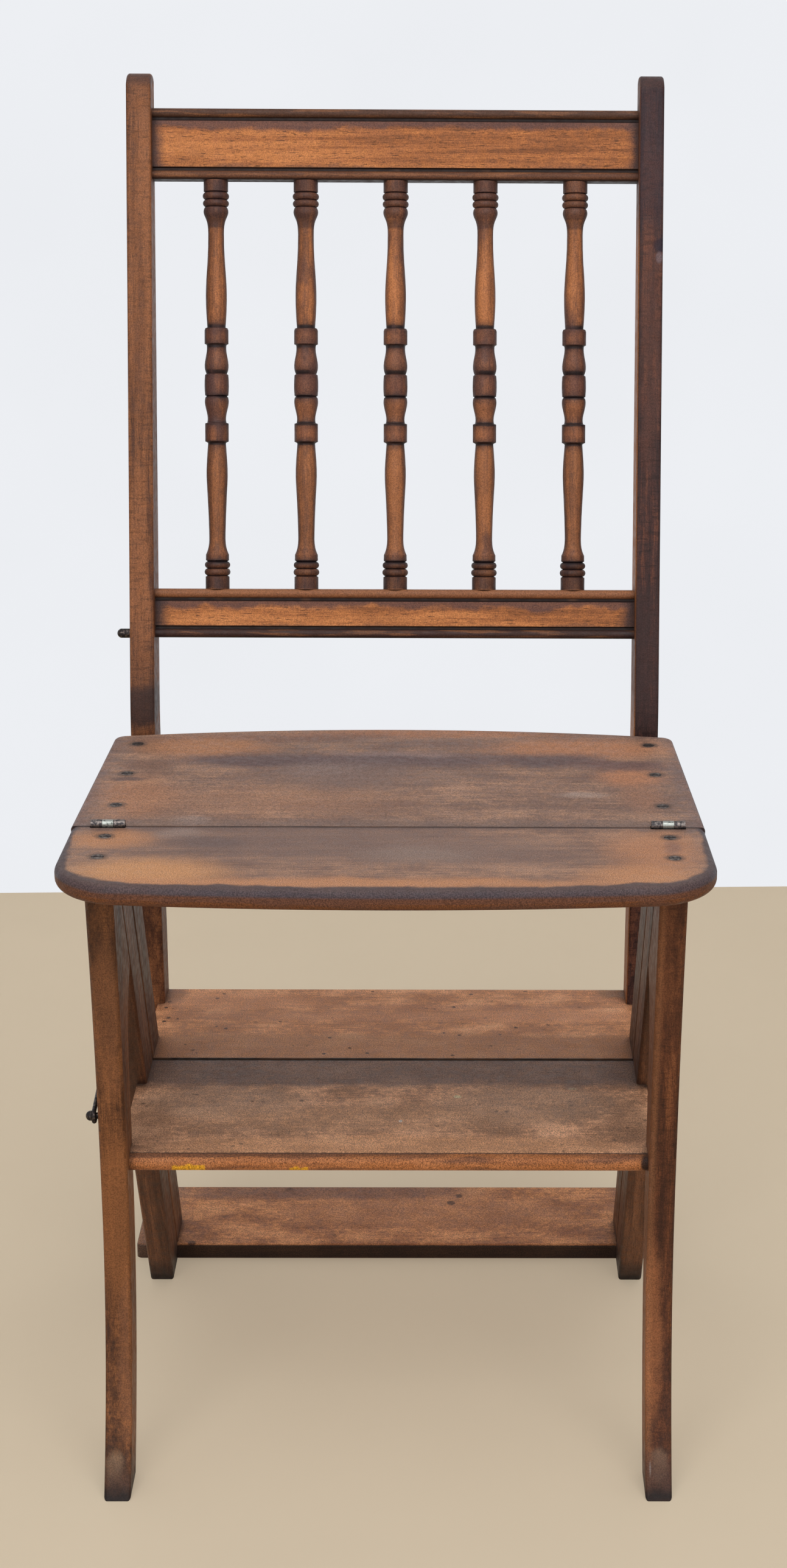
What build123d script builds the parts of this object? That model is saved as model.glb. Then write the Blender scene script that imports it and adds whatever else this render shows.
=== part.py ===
from build123d import *
import math
import os

# Library step chair. Its back half turns over the seat on two butt hinges and makes a four tread step.
# X runs across the chair, Y from front to back and Z up. Lengths are in millimetres.
# While it is drawn, Y is 0 at the hinge line and Z is 0 at the floor.

# Main sizes
seat_height = 450.0
axis_rise = 1.8
floor_clearance = 0.5
frame_width = 383.0
frame_thickness = 18.0
stringer_pitch = 60.5
stringer_width = 36.0
frame_gap = 1.4
edge_round = 2.2
small_round = 0.8
cut_overrun = 10.0

# Seat boards
seat_thickness = 14.0
seam_gap = 0.8
seat_seam_overhang = 15.5
seat_front_overhang = 18.0
seat_front_depth = 118.5
seat_front_corner_depth = 106.0
seat_front_corner_round = 46.0
seat_front_round = 5.5
seat_rear_overhang = 9.0
seat_rear_bow = 18.0
seat_post_gap = 5.0
seat_rear_corner_round = 9.0
seat_rear_round = 2.5

# Front legs, each drawn as front and back curves in the side view
leg_front_top = 64.0
leg_front_waist = 41.0
leg_front_low = 90.5
leg_waist_height = 190.0
leg_back_waist = 8.5
leg_back_low = 57.0
leg_back_waist_height = 205.0
crotch_drop = 103.0
crotch_end_drop = 150.0
crotch_sag = 9.0

# Steps and lower platform
step_thickness = 12.0
step_height = 227.0
step_housing = 7.0
step_gap = 2.8
front_step_overhang = 31.0
nosing_radius = 6.0
nosing_quirk = 1.0
rear_step_end_gap = 4.0
rear_step_round = 2.0
platform_overhang = 14.5
platform_lip = 1.8
platform_depth = 100.0
foot_clearance = 2.0

# Back posts
post_stand_out = 1.3
post_thickness = 17.8
post_lean = 13.6
post_front_setback = 77.8
post_depth_at_seat = 40.0
post_depth_at_top = 25.0
post_lower_lean = 2.1
post_lower_setback = 35.8
post_bend_radius = 160.0
post_cap_rise = 6.0

# Rails of the back, measured along the leaning posts from the seat's level
rail_setback = 8.0
rail_thickness = 18.0
lower_rail_bottom = 64.4
lower_rail_height = 35.5
crest_bottom = 394.2
crest_height = 50.3
rail_bead = 6.4
rail_groove = 1.6
rail_tenon_length = 12.0
rail_tenon_thickness = 8.0
rail_tenon_shoulder = 6.0

# Spindles
spindle_count = 5
spindle_end = 45.0
spindle_diameter = 17.6
spindle_tenon_diameter = 9.0
spindle_tenon_length = 11.0

# Hidden bearers under the rear seat board
bearer_height = 36.0
bearer_tenon_length = 18.0
bearer_tenon_height = 22.0
bearer_tenon_thickness = 8.0

# Dowels in the side frames
dowel_diameter = 8.0
dowel_length = 26.0
front_dowel_drops = (58.0, 88.0)

# Countersunk screws
seat_screw_head = 8.4
seat_screw_cone = 2.6
seat_screw_shank = 4.0
seat_screw_length = 36.0
seat_screw_slot = 0.9
front_screw_places = (19.0, 57.5)
rear_screw_count = 3
rear_screw_start = 43.0
rear_screw_end = 37.4
platform_screw_places = (9.0, 24.0)

# Butt hinges at the seam of the seat
hinge_length = 22.5
hinge_inset = 13.1
knuckle_count = 3
barrel_diameter = 5.6
barrel_clearance = 0.3
knuckle_gap = 0.3
hinge_pin_diameter = 2.2
hinge_pin_clearance = 0.05
leaf_thickness = 1.5
leaf_gap = 0.4
leaf_depth = 11.0
leaf_screw_head = 4.6
leaf_screw_cone = 1.2
leaf_screw_shank = 2.4
leaf_screw_length = 11.0
leaf_screw_drop = 6.4
leaf_screw_spacing = 13.5
leaf_screw_slot = 0.6

# Iron studs and the stay hook on the left side
stud_shank_diameter = 4.4
stud_head_diameter = 6.8
stud_dome = 2.8
stud_depth = 12.0
leg_stud_end = 8.8
post_stud_end = 9.9
leg_stud_front = 35.0
leg_stud_drop = 190.8
post_stud_depth = 10.0
post_stud_rise = 63.2
stay_diameter = 3.0
stay_side_gap = 0.3
stay_running_gap = 0.05
stay_catch_gap = 0.5
stay_rest_angle = 8.0
stay_tip_length = 5.0
stay_eye_turn = 250.0
stay_catch_turn = 100.0

# Worked out places
axis_height = seat_height + axis_rise
seat_underside = seat_height - seat_thickness
outer_x = frame_width / 2
inner_x = outer_x - frame_thickness
member_x = (outer_x + inner_x) / 2
post_outer_x = outer_x + post_stand_out
post_inner_x = post_outer_x - post_thickness
seam_slope = math.tan(math.radians(stringer_pitch))
stringer_run = stringer_width / math.sin(math.radians(stringer_pitch))
half_frame_gap = frame_gap / 2 / math.sin(math.radians(stringer_pitch))
half_seam = seam_gap / 2
seat_seam_x = outer_x + seat_seam_overhang
hinge_centre = seat_seam_x - hinge_inset - hinge_length / 2
leg_stud_height = seat_height - leg_stud_drop
post_stud_height = seat_height + post_stud_rise
post_top = 2 * axis_height - floor_clearance
spindle_spacing = 2 * (post_inner_x - spindle_end) / (spindle_count - 1)
step_underside = step_height - step_thickness
lean = math.radians(post_lean)


def seam_y(height):
    """Y of the slanting line between the front and rear stringers at a height."""
    return (seat_height - height) / seam_slope


def front_stringer_front(height):
    return seam_y(height) - half_frame_gap - stringer_run


def rear_stringer_back(height):
    return seam_y(height) + half_frame_gap + stringer_run


# Places behind the hinge line, which all follow the rear stringers
platform_front = seam_y(step_thickness) + half_frame_gap - platform_lip
post_front_at_seat = rear_stringer_back(0) - post_front_setback
post_lower_back = rear_stringer_back(0) - post_lower_setback
rear_step_back = post_lower_back - rear_step_end_gap
seat_rear_depth = post_front_at_seat - seat_post_gap
rear_screw_run = seat_rear_depth - rear_screw_end - rear_screw_start


def pairs(solid):
    """The left and the right copy of a solid that is drawn on the right, +X, side."""
    return {"left": mirror(solid, about=Plane.YZ), "right": solid}


def side_plate(edges, inner, thickness):
    """A board that stands in the side view, from its inner face outwards."""
    face = Plane.YZ.offset(inner) * make_face(edges)
    return extrude(face, thickness, dir=(1, 0, 0))


def box_between(low, high):
    """A box from its lowest to its highest corner."""
    size = [b - a for a, b in zip(low, high)]
    middle = [(a + b) / 2 for a, b in zip(low, high)]
    return Pos(*middle) * Box(*size)


def eased(solid, radius):
    """The same board with the long arrises of its two side faces rounded."""
    faces = solid.faces().filter_by(Axis.X)
    edges = faces.sort_by(Axis.X)[0].edges() + faces.sort_by(Axis.X)[-1].edges()
    return fillet(edges, radius)


def screw(head, cone, shank, length, slot):
    """A slotted countersunk screw along Z, its head's flat top at the origin, its point down."""
    head_radius = head / 2
    shank_radius = shank / 2
    outline = Polyline(
        (0, 0),
        (head_radius, 0),
        (shank_radius, -cone),
        (shank_radius, cone - length),
        (0, -length),
        close=True,
    )
    body = revolve(Plane.XZ * make_face(outline.edges()), axis=Axis.Z)
    return body, body - Box(head + slot, slot, 2 * slot)


def placed_screws(places, sizes):
    """The plain bodies that cut the holes, and the slotted screws that fill them."""
    plain, slotted = screw(*sizes)
    return [place * plain for place in places], [place * slotted for place in places]


def cut_all(solid, cutters):
    for cutter in cutters:
        solid = solid - cutter
    return solid


# Seat boards
def seat_board(seam, corner, end, corner_round):
    """Outline of a seat board: straight seam and sides, and a bowed end with rounded corners."""
    near = (seat_seam_x, seam)
    away = (-corner[0], corner[1])
    edges = [
        Line(near, corner),
        ThreePointArc(corner, (0, end), away),
        Line(away, (-near[0], near[1])),
        Line((-near[0], near[1]), near),
    ]
    outline = make_face(edges)
    corners = outline.vertices().filter_by(lambda vertex: abs(vertex.Y - corner[1]) < small_round)
    return Pos(0, 0, seat_underside) * extrude(fillet(corners, corner_round), seat_thickness)


def rounded_rim(board, radius):
    """The same board with its rim rounded above and below, except along the seam."""
    rims = [edge for edge in board.edges() if abs(edge.center().Y) > half_seam + small_round]
    level = [edge for edge in rims if abs((edge @ 0).Z - (edge @ 1).Z) < small_round]
    return fillet(level, radius)


def front_seat_board():
    corner = (outer_x + seat_front_overhang, -seat_front_corner_depth)
    board = seat_board(-half_seam, corner, -seat_front_depth, seat_front_corner_round)
    return rounded_rim(board, seat_front_round)


def rear_seat_board():
    corner = (outer_x + seat_rear_overhang, seat_rear_depth - seat_rear_bow)
    board = seat_board(half_seam, corner, seat_rear_depth, seat_rear_corner_round)
    return rounded_rim(board, seat_rear_round)


# Front side frames
def front_leg():
    """The leg sweeps forward to its foot and flares back at the top to meet the stringer."""
    front_top = (-leg_front_top, seat_underside)
    front_waist = (-leg_front_waist, leg_waist_height)
    front_foot = (-leg_front_low, 0)
    back_foot = (-leg_back_low, 0)
    back_waist = (-leg_back_waist, leg_back_waist_height)
    crotch_end = (-leg_back_waist, seat_height - crotch_end_drop)
    crotch_height = seat_height - crotch_drop
    crotch = (front_stringer_front(crotch_height), crotch_height)
    back_top = (front_stringer_front(seat_underside), seat_underside)
    crotch_middle = (
        (crotch[0] + crotch_end[0] - crotch_sag) / 2,
        (crotch[1] + crotch_end[1] + crotch_sag) / 2,
    )
    edges = [
        TangentArc(front_waist, front_top, tangent=(0, 1)),
        TangentArc(front_waist, front_foot, tangent=(0, -1)),
        Line(front_foot, back_foot),
        TangentArc(back_waist, back_foot, tangent=(0, -1)),
        Line(back_waist, crotch_end),
        ThreePointArc(crotch_end, crotch_middle, crotch),
        Line(crotch, back_top),
        Line(back_top, front_top),
    ]
    return side_plate(edges, inner_x, frame_thickness)


def front_stringer():
    """The sloping front stringer, from under the front seat board to its own foot on the floor."""
    seam_drop = seat_underside - seat_thickness / 2
    foot_back = platform_front - foot_clearance
    foot_back_height = seat_height - (foot_back + half_frame_gap) * seam_slope
    points = [
        (front_stringer_front(seat_underside), seat_underside),
        (-half_seam, seat_underside),
        (seam_y(seam_drop) - half_frame_gap, seam_drop),
        (foot_back, foot_back_height),
        (foot_back, 0),
        (front_stringer_front(0), 0),
    ]
    return side_plate(Polyline(*points, close=True).edges(), inner_x, frame_thickness)


def front_step():
    """The step board between the front frames, with a half round nosing behind a small quirk."""
    back = seam_y(step_height) - step_gap / 2
    front = -front_step_overhang
    rear_of_nosing = front + nosing_radius
    quirk = (rear_of_nosing + nosing_quirk, step_height - nosing_quirk)
    edges = [
        Line((back, step_underside), (back, step_height)),
        Line((back, step_height), (rear_of_nosing + 2 * nosing_quirk, step_height)),
        Line((rear_of_nosing + 2 * nosing_quirk, step_height), quirk),
        Line(quirk, (rear_of_nosing, step_height)),
        ThreePointArc((rear_of_nosing, step_height), (front, step_height - step_thickness / 2),
                      (rear_of_nosing, step_underside)),
        Line((rear_of_nosing, step_underside), (back, step_underside)),
    ]
    half = inner_x + step_housing
    return side_plate(edges, -half, 2 * half)


# Rear side frames
def line_crossing(start, end, other_start, other_end):
    """Where two straight lines of the side view cross."""
    run, rise = end[0] - start[0], end[1] - start[1]
    other_run, other_rise = other_end[0] - other_start[0], other_end[1] - other_start[1]
    across = (other_start[0] - start[0]) * other_rise - (other_start[1] - start[1]) * other_run
    share = across / (run * other_rise - rise * other_run)
    return (start[0] + share * run, start[1] + share * rise)


def rear_stringer():
    """The sloping rear stringer, from under the rear seat board down to the platform."""
    points = [
        (seam_y(seat_underside) + half_frame_gap, seat_underside),
        (rear_stringer_back(seat_underside), seat_underside),
        (rear_stringer_back(step_thickness), step_thickness),
        (seam_y(step_thickness) + half_frame_gap, step_thickness),
    ]
    return side_plate(Polyline(*points, close=True).edges(), inner_x, frame_thickness)


def rear_step():
    """The step board between the rear frames. Its front edge slopes with the seam that it opens at."""
    gap = step_gap / 2
    points = [
        (seam_y(step_height) + gap, step_height),
        (seam_y(step_underside) + gap, step_underside),
        (rear_step_back, step_underside),
        (rear_step_back, step_height),
    ]
    half = inner_x + step_housing
    board = side_plate(Polyline(*points, close=True).edges(), -half, 2 * half)
    return fillet(board.edges().filter_by(Axis.X).sort_by(Axis.Y)[-2:], rear_step_round)


def platform_board():
    half = outer_x + platform_overhang
    board = box_between((-half, platform_front, 0), (half, platform_front + platform_depth, step_thickness))
    board = fillet(board.edges().filter_by(Axis.Z), 2 * edge_round)
    return fillet(board.faces().sort_by(Axis.Z)[-1].edges(), edge_round)


def post_side_points():
    """Corners of a post in the side view: foot, bend and top in front, then top, bend and foot behind."""
    stringer_top = (rear_stringer_back(seat_underside), seat_underside)
    stringer_bottom = (rear_stringer_back(0), 0)
    front_bend = (post_front_at_seat, seat_height)
    lower_run = seat_height * math.tan(math.radians(post_lower_lean))
    front_low = (post_front_at_seat + lower_run, 0)
    rise = post_top - post_cap_rise - seat_height
    front_top = (post_front_at_seat + rise * math.tan(lean), post_top - post_cap_rise)
    back_top = (front_top[0] + post_depth_at_top / math.cos(lean), front_top[1])
    back_bend = (post_front_at_seat + post_depth_at_seat, seat_height)
    back_low = (post_lower_back, 0)
    front_foot = line_crossing(front_bend, front_low, stringer_top, stringer_bottom)
    back_foot = line_crossing(back_bend, back_low, stringer_top, stringer_bottom)
    return front_foot, front_bend, front_top, back_top, back_bend, back_foot


def back_post():
    front_foot, front_bend, front_top, back_top, back_bend, back_foot = post_side_points()
    front = FilletPolyline(front_foot, front_bend, front_top, radius=post_bend_radius)
    back = FilletPolyline(back_top, back_bend, back_foot, radius=post_bend_radius)
    cap_middle = ((front_top[0] + back_top[0] + post_cap_rise * math.sin(lean)) / 2, post_top)
    cap = ThreePointArc(front_top, cap_middle, back_top)
    foot = Line(back_foot, front_foot)
    edges = front.edges() + cap.edges() + back.edges() + foot.edges()
    post = side_plate(edges, post_inner_x, post_thickness)
    return eased(post, edge_round)


def rear_bearer():
    """A bearer under the side of the rear seat board, from the stringer back to the post."""
    low = seat_underside - bearer_height
    front_foot, front_bend = post_side_points()[:2]
    points = [
        (rear_stringer_back(seat_underside), seat_underside),
        (rear_stringer_back(low), low),
        line_crossing(front_foot, front_bend, (0, low), (post_front_at_seat, low)),
        line_crossing(front_foot, front_bend, (0, seat_underside), (post_front_at_seat, seat_underside)),
    ]
    return side_plate(Polyline(*points, close=True).edges(), inner_x, frame_thickness)


def bearer_tenon():
    middle = seat_underside - bearer_height / 2
    low = (member_x - bearer_tenon_thickness / 2, post_front_at_seat - cut_overrun,
           middle - bearer_tenon_height / 2)
    high = (member_x + bearer_tenon_thickness / 2, post_front_at_seat + bearer_tenon_length,
            middle + bearer_tenon_height / 2)
    return box_between(low, high)


# The back: its plane leans with the posts, local x is depth, local y runs up the posts, local z is X
back_plane = Plane(
    origin=(0, post_front_at_seat, seat_height),
    x_dir=(0, math.cos(lean), -math.sin(lean)),
    z_dir=(1, 0, 0),
)
rail_middle = rail_setback + rail_thickness / 2


def bead(depth, start, end):
    """A half round reed on the front of a rail, between two heights."""
    return ThreePointArc((depth, start), (depth - (end - start) / 2, (start + end) / 2), (depth, end))


def moulded_rail(bottom, height, half_length):
    """A rail with a reed along its top and bottom edges and a groove beside each reed."""
    top = bottom + height
    face = rail_setback + rail_bead / 2
    back = rail_setback + rail_thickness
    low_groove = bottom + rail_bead + rail_groove
    high_groove = top - rail_bead - rail_groove
    edges = [
        bead(face, bottom, bottom + rail_bead),
        Line((face, bottom + rail_bead), (face, low_groove)),
        Line((face, low_groove), (face - rail_groove, low_groove + small_round)),
        Line((face - rail_groove, low_groove + small_round), (face - rail_groove, high_groove - small_round)),
        Line((face - rail_groove, high_groove - small_round), (face, high_groove)),
        Line((face, high_groove), (face, top - rail_bead)),
        bead(face, top - rail_bead, top),
        Line((face, top), (back - edge_round, top)),
        Line((back - edge_round, top), (back, top - edge_round)),
        Line((back, top - edge_round), (back, bottom + edge_round)),
        Line((back, bottom + edge_round), (back - edge_round, bottom)),
        Line((back - edge_round, bottom), (face, bottom)),
    ]
    flat = extrude(make_face(edges), 2 * half_length)
    return back_plane.location * Pos(0, 0, -half_length) * flat


def rail_tenons(bottom, height):
    """Both tenons of a rail as one bar through it, so that the same bar cuts the mortises."""
    half = post_inner_x + rail_tenon_length
    low = (rail_middle - rail_tenon_thickness / 2, bottom + rail_tenon_shoulder, -half)
    high = (rail_middle + rail_tenon_thickness / 2, bottom + height - rail_tenon_shoulder, half)
    return back_plane.location * box_between(low, high)


# Turned outline of a spindle, from its top shoulder down: the way to the next point, the share of the
# length between the rails and the share of the full radius
spindle_outline_shares = [
    ("line", 0.027, 1.00), ("line", 0.029, 0.86),
    ("bead", 0.047, 0.86), ("bead", 0.064, 0.85),
    ("line", 0.066, 0.93), ("curve", 0.078, 1.01), ("curve", 0.095, 0.80), ("curve", 0.132, 0.65),
    ("curve", 0.162, 0.66), ("curve", 0.215, 0.76), ("curve", 0.275, 0.86), ("curve", 0.330, 0.81),
    ("curve end", 0.357, 0.75),
    ("line", 0.359, 0.92), ("line", 0.364, 0.98), ("line", 0.397, 0.98), ("line", 0.399, 0.83),
    ("line", 0.402, 0.80), ("curve", 0.428, 0.88), ("curve", 0.454, 0.98), ("curve end", 0.466, 0.90),
    ("line", 0.470, 0.84), ("line", 0.473, 0.96), ("curve", 0.498, 1.00), ("curve end", 0.523, 0.96),
    ("line", 0.525, 0.84), ("line", 0.528, 0.94), ("curve", 0.534, 0.98), ("curve", 0.558, 0.88),
    ("curve end", 0.590, 0.79),
    ("line", 0.592, 0.97), ("line", 0.636, 0.97), ("line", 0.639, 0.77),
    ("line", 0.641, 0.735), ("curve", 0.675, 0.82), ("curve", 0.714, 0.875), ("curve", 0.757, 0.82),
    ("curve", 0.800, 0.745), ("curve", 0.865, 0.675), ("curve", 0.894, 0.72), ("curve end", 0.915, 0.95),
    ("line", 0.929, 0.96), ("line", 0.932, 0.82),
    ("bead", 0.949, 0.82), ("bead", 0.967, 0.84),
    ("line", 0.970, 0.99), ("line", 1.000, 0.99),
]


def spindle():
    """One turned spindle along local y, its lower shoulder at the origin, with a round tenon at each end."""
    length = crest_bottom - lower_rail_bottom - lower_rail_height
    radius = spindle_diameter / 2
    tenon = spindle_tenon_diameter / 2
    here = (radius, length)
    edges = [Line((0, length + spindle_tenon_length), (tenon, length + spindle_tenon_length)),
             Line((tenon, length + spindle_tenon_length), (tenon, length)),
             Line((tenon, length), here)]
    run = []
    for way, height_share, radius_share in spindle_outline_shares:
        there = (radius * radius_share, length * (1 - height_share))
        if way == "bead":
            swell = (radius * (radius_share + 1) / 2 + (here[1] - there[1]) / 4, (here[1] + there[1]) / 2)
            edges.append(ThreePointArc(here, swell, there))
        elif way == "curve":
            run = run + [there] if run else [here, there]
        elif way == "curve end":
            edges.append(Spline(*run, there))
            run = []
        else:
            edges.append(Line(here, there))
        here = there
    edges.append(Line(here, (tenon, 0)))
    edges.append(Line((tenon, 0), (tenon, -spindle_tenon_length)))
    edges.append(Line((tenon, -spindle_tenon_length), (0, -spindle_tenon_length)))
    edges.append(Line((0, -spindle_tenon_length), (0, length + spindle_tenon_length)))
    return revolve(make_face(edges), axis=Axis.Y)


# Butt hinges
def hinge_spans():
    """X spans of the three knuckles of the right hinge: rear, front, rear."""
    knuckle = hinge_length / knuckle_count
    start = hinge_centre - hinge_length / 2
    return [(start + index * knuckle + knuckle_gap / 2, start + (index + 1) * knuckle - knuckle_gap / 2)
            for index in range(knuckle_count)]


def barrel(span, radius):
    """A round bar along the hinge axis between two X places."""
    return Pos((span[0] + span[1]) / 2, 0, axis_height) * Rot(0, 90, 0) * Cylinder(radius, span[1] - span[0])


def leaf(side):
    """A leaf of the right hinge that hangs from its knuckles against the seam, front (-1) or rear (+1)."""
    near = leaf_gap / 2
    far = near + leaf_thickness
    start = hinge_centre - hinge_length / 2
    lows, highs = sorted((side * near, side * far))
    return box_between((start, lows, axis_height - leaf_depth), (start + hinge_length, highs, axis_height))


def hinge_parts():
    """The right hinge: front leaf, rear leaf, pin, and the room that the boards leave for each."""
    radius = barrel_diameter / 2
    spans = hinge_spans()
    rear_spans = [spans[0], spans[2]]
    whole = (hinge_centre - hinge_length / 2, hinge_centre + hinge_length / 2)
    pin_radius = hinge_pin_diameter / 2
    front_leaf = leaf(-1)
    rear_leaf = leaf(1)
    for span in rear_spans:
        outer_room = (span[0] - knuckle_gap, span[1] + knuckle_gap)
        front_leaf = front_leaf - barrel(outer_room, radius + knuckle_gap)
        rear_leaf = rear_leaf + barrel(span, radius)
    middle_room = (spans[1][0] - knuckle_gap, spans[1][1] + knuckle_gap)
    front_leaf = front_leaf + barrel(spans[1], radius)
    rear_leaf = rear_leaf - barrel(middle_room, radius + knuckle_gap)
    front_leaf = front_leaf - barrel(whole, pin_radius + hinge_pin_clearance)
    rear_leaf = rear_leaf - barrel(whole, pin_radius)
    pin = barrel((spans[0][0], spans[2][1]), pin_radius)
    wide = radius + barrel_clearance
    room = box_between((whole[0] - barrel_clearance, -wide, axis_height - wide),
                       (whole[1] + barrel_clearance, wide, seat_height + cut_overrun))
    return front_leaf, rear_leaf, pin, room


def leaf_screw_places(side):
    """Where the two screws of a right hinge's leaf go, driven level into the seat board."""
    height = axis_height - leaf_screw_drop
    turn = Rot(-90, 0, 0) if side < 0 else Rot(90, 0, 0)
    return [Pos(hinge_centre + offset, side * leaf_gap / 2, height) * turn
            for offset in (-leaf_screw_spacing / 2, leaf_screw_spacing / 2)]


# Dowels, along the normal of the slanting joints
def dowel(centre):
    """A dowel square to the slanting joint at a point of the side view."""
    turn = Rot(-stringer_pitch, 0, 0)
    return Pos(member_x, centre[0], centre[1]) * turn * Cylinder(dowel_diameter / 2, dowel_length)


def front_dowels():
    """Dowels between the front legs and stringers."""
    heights = [seat_height - drop for drop in front_dowel_drops]
    return [dowel((front_stringer_front(height), height)) for height in heights]


def rear_dowels():
    """Dowels from the rear stringers into the bearers and into the feet of the posts."""
    bearer_middle = seat_underside - bearer_height / 2
    front_foot, back_foot = post_side_points()[0], post_side_points()[-1]
    post_middle = ((front_foot[0] + back_foot[0]) / 2, (front_foot[1] + back_foot[1]) / 2)
    return [dowel((rear_stringer_back(bearer_middle), bearer_middle)), dowel(post_middle)]


# Studs and stay hook, on the left side
def stud(face, length, neck, centre):
    """A stud driven into the left side, with a neck for the stay's eye and a domed head beyond it."""
    shank = stud_shank_diameter / 2
    head = stud_head_diameter / 2
    shoulder = length - stud_dome
    dome_radius = (head ** 2 + stud_dome ** 2) / (2 * stud_dome)
    half_turn = math.asin(head / dome_radius) / 2
    dome_middle = (dome_radius * math.sin(half_turn), length - dome_radius * (1 - math.cos(half_turn)))
    outline = [
        Line((0, -stud_depth), (shank, -stud_depth)),
        Line((shank, -stud_depth), (shank, neck)),
        Line((shank, neck), (head, neck)),
        Line((head, neck), (head, shoulder)),
        ThreePointArc((head, shoulder), dome_middle, (0, length)),
        Line((0, length), (0, -stud_depth)),
    ]
    solid = revolve(make_face(outline), axis=Axis.Y)
    return Pos(-face, centre[0], centre[1]) * Rot(0, 0, 90) * solid


def stay_points():
    """The eye on the leg's stud, and where the post's stud stands when the chair is a step."""
    post_front = post_front_at_seat + (post_stud_height - seat_height) * math.tan(lean)
    post_stud = (post_front + post_stud_depth, post_stud_height)
    eye = (-leg_stud_front, leg_stud_height)
    catch = (-post_stud[0], 2 * axis_height - post_stud[1])
    return eye, post_stud, catch


def stay_hook():
    """A round rod: an eye round the leg's stud, a straight reach, and an open turn for the post's stud."""
    eye, post_stud, catch = stay_points()
    reach = math.dist(eye, catch)
    eye_radius = stud_shank_diameter / 2 + stay_running_gap + stay_diameter / 2
    turn_radius = stud_head_diameter / 2 + stay_catch_gap + stay_diameter / 2
    wrap = CenterArc((0, 0), eye_radius, 90, stay_eye_turn)
    bend = JernArc(start=(reach, turn_radius), tangent=(1, 0), radius=turn_radius, arc_size=-stay_catch_turn)
    tip = PolarLine(bend @ 1, stay_tip_length, direction=bend % 1)
    straight = Line((0, eye_radius), (reach, turn_radius))
    path = Wire(wrap.edges() + straight.edges() + bend.edges() + tip.edges())
    section = Plane(origin=path @ 0, z_dir=path % 0) * Circle(stay_diameter / 2)
    rod = sweep(section, path=path, transition=Transition.RIGHT)
    angle = math.radians(stay_rest_angle)
    side = post_outer_x + stay_side_gap + stay_diameter / 2
    rest = Plane(origin=(-side, eye[0], eye[1]), x_dir=(0, math.cos(angle), math.sin(angle)), z_dir=(1, 0, 0))
    return rest.location * rod


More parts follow.
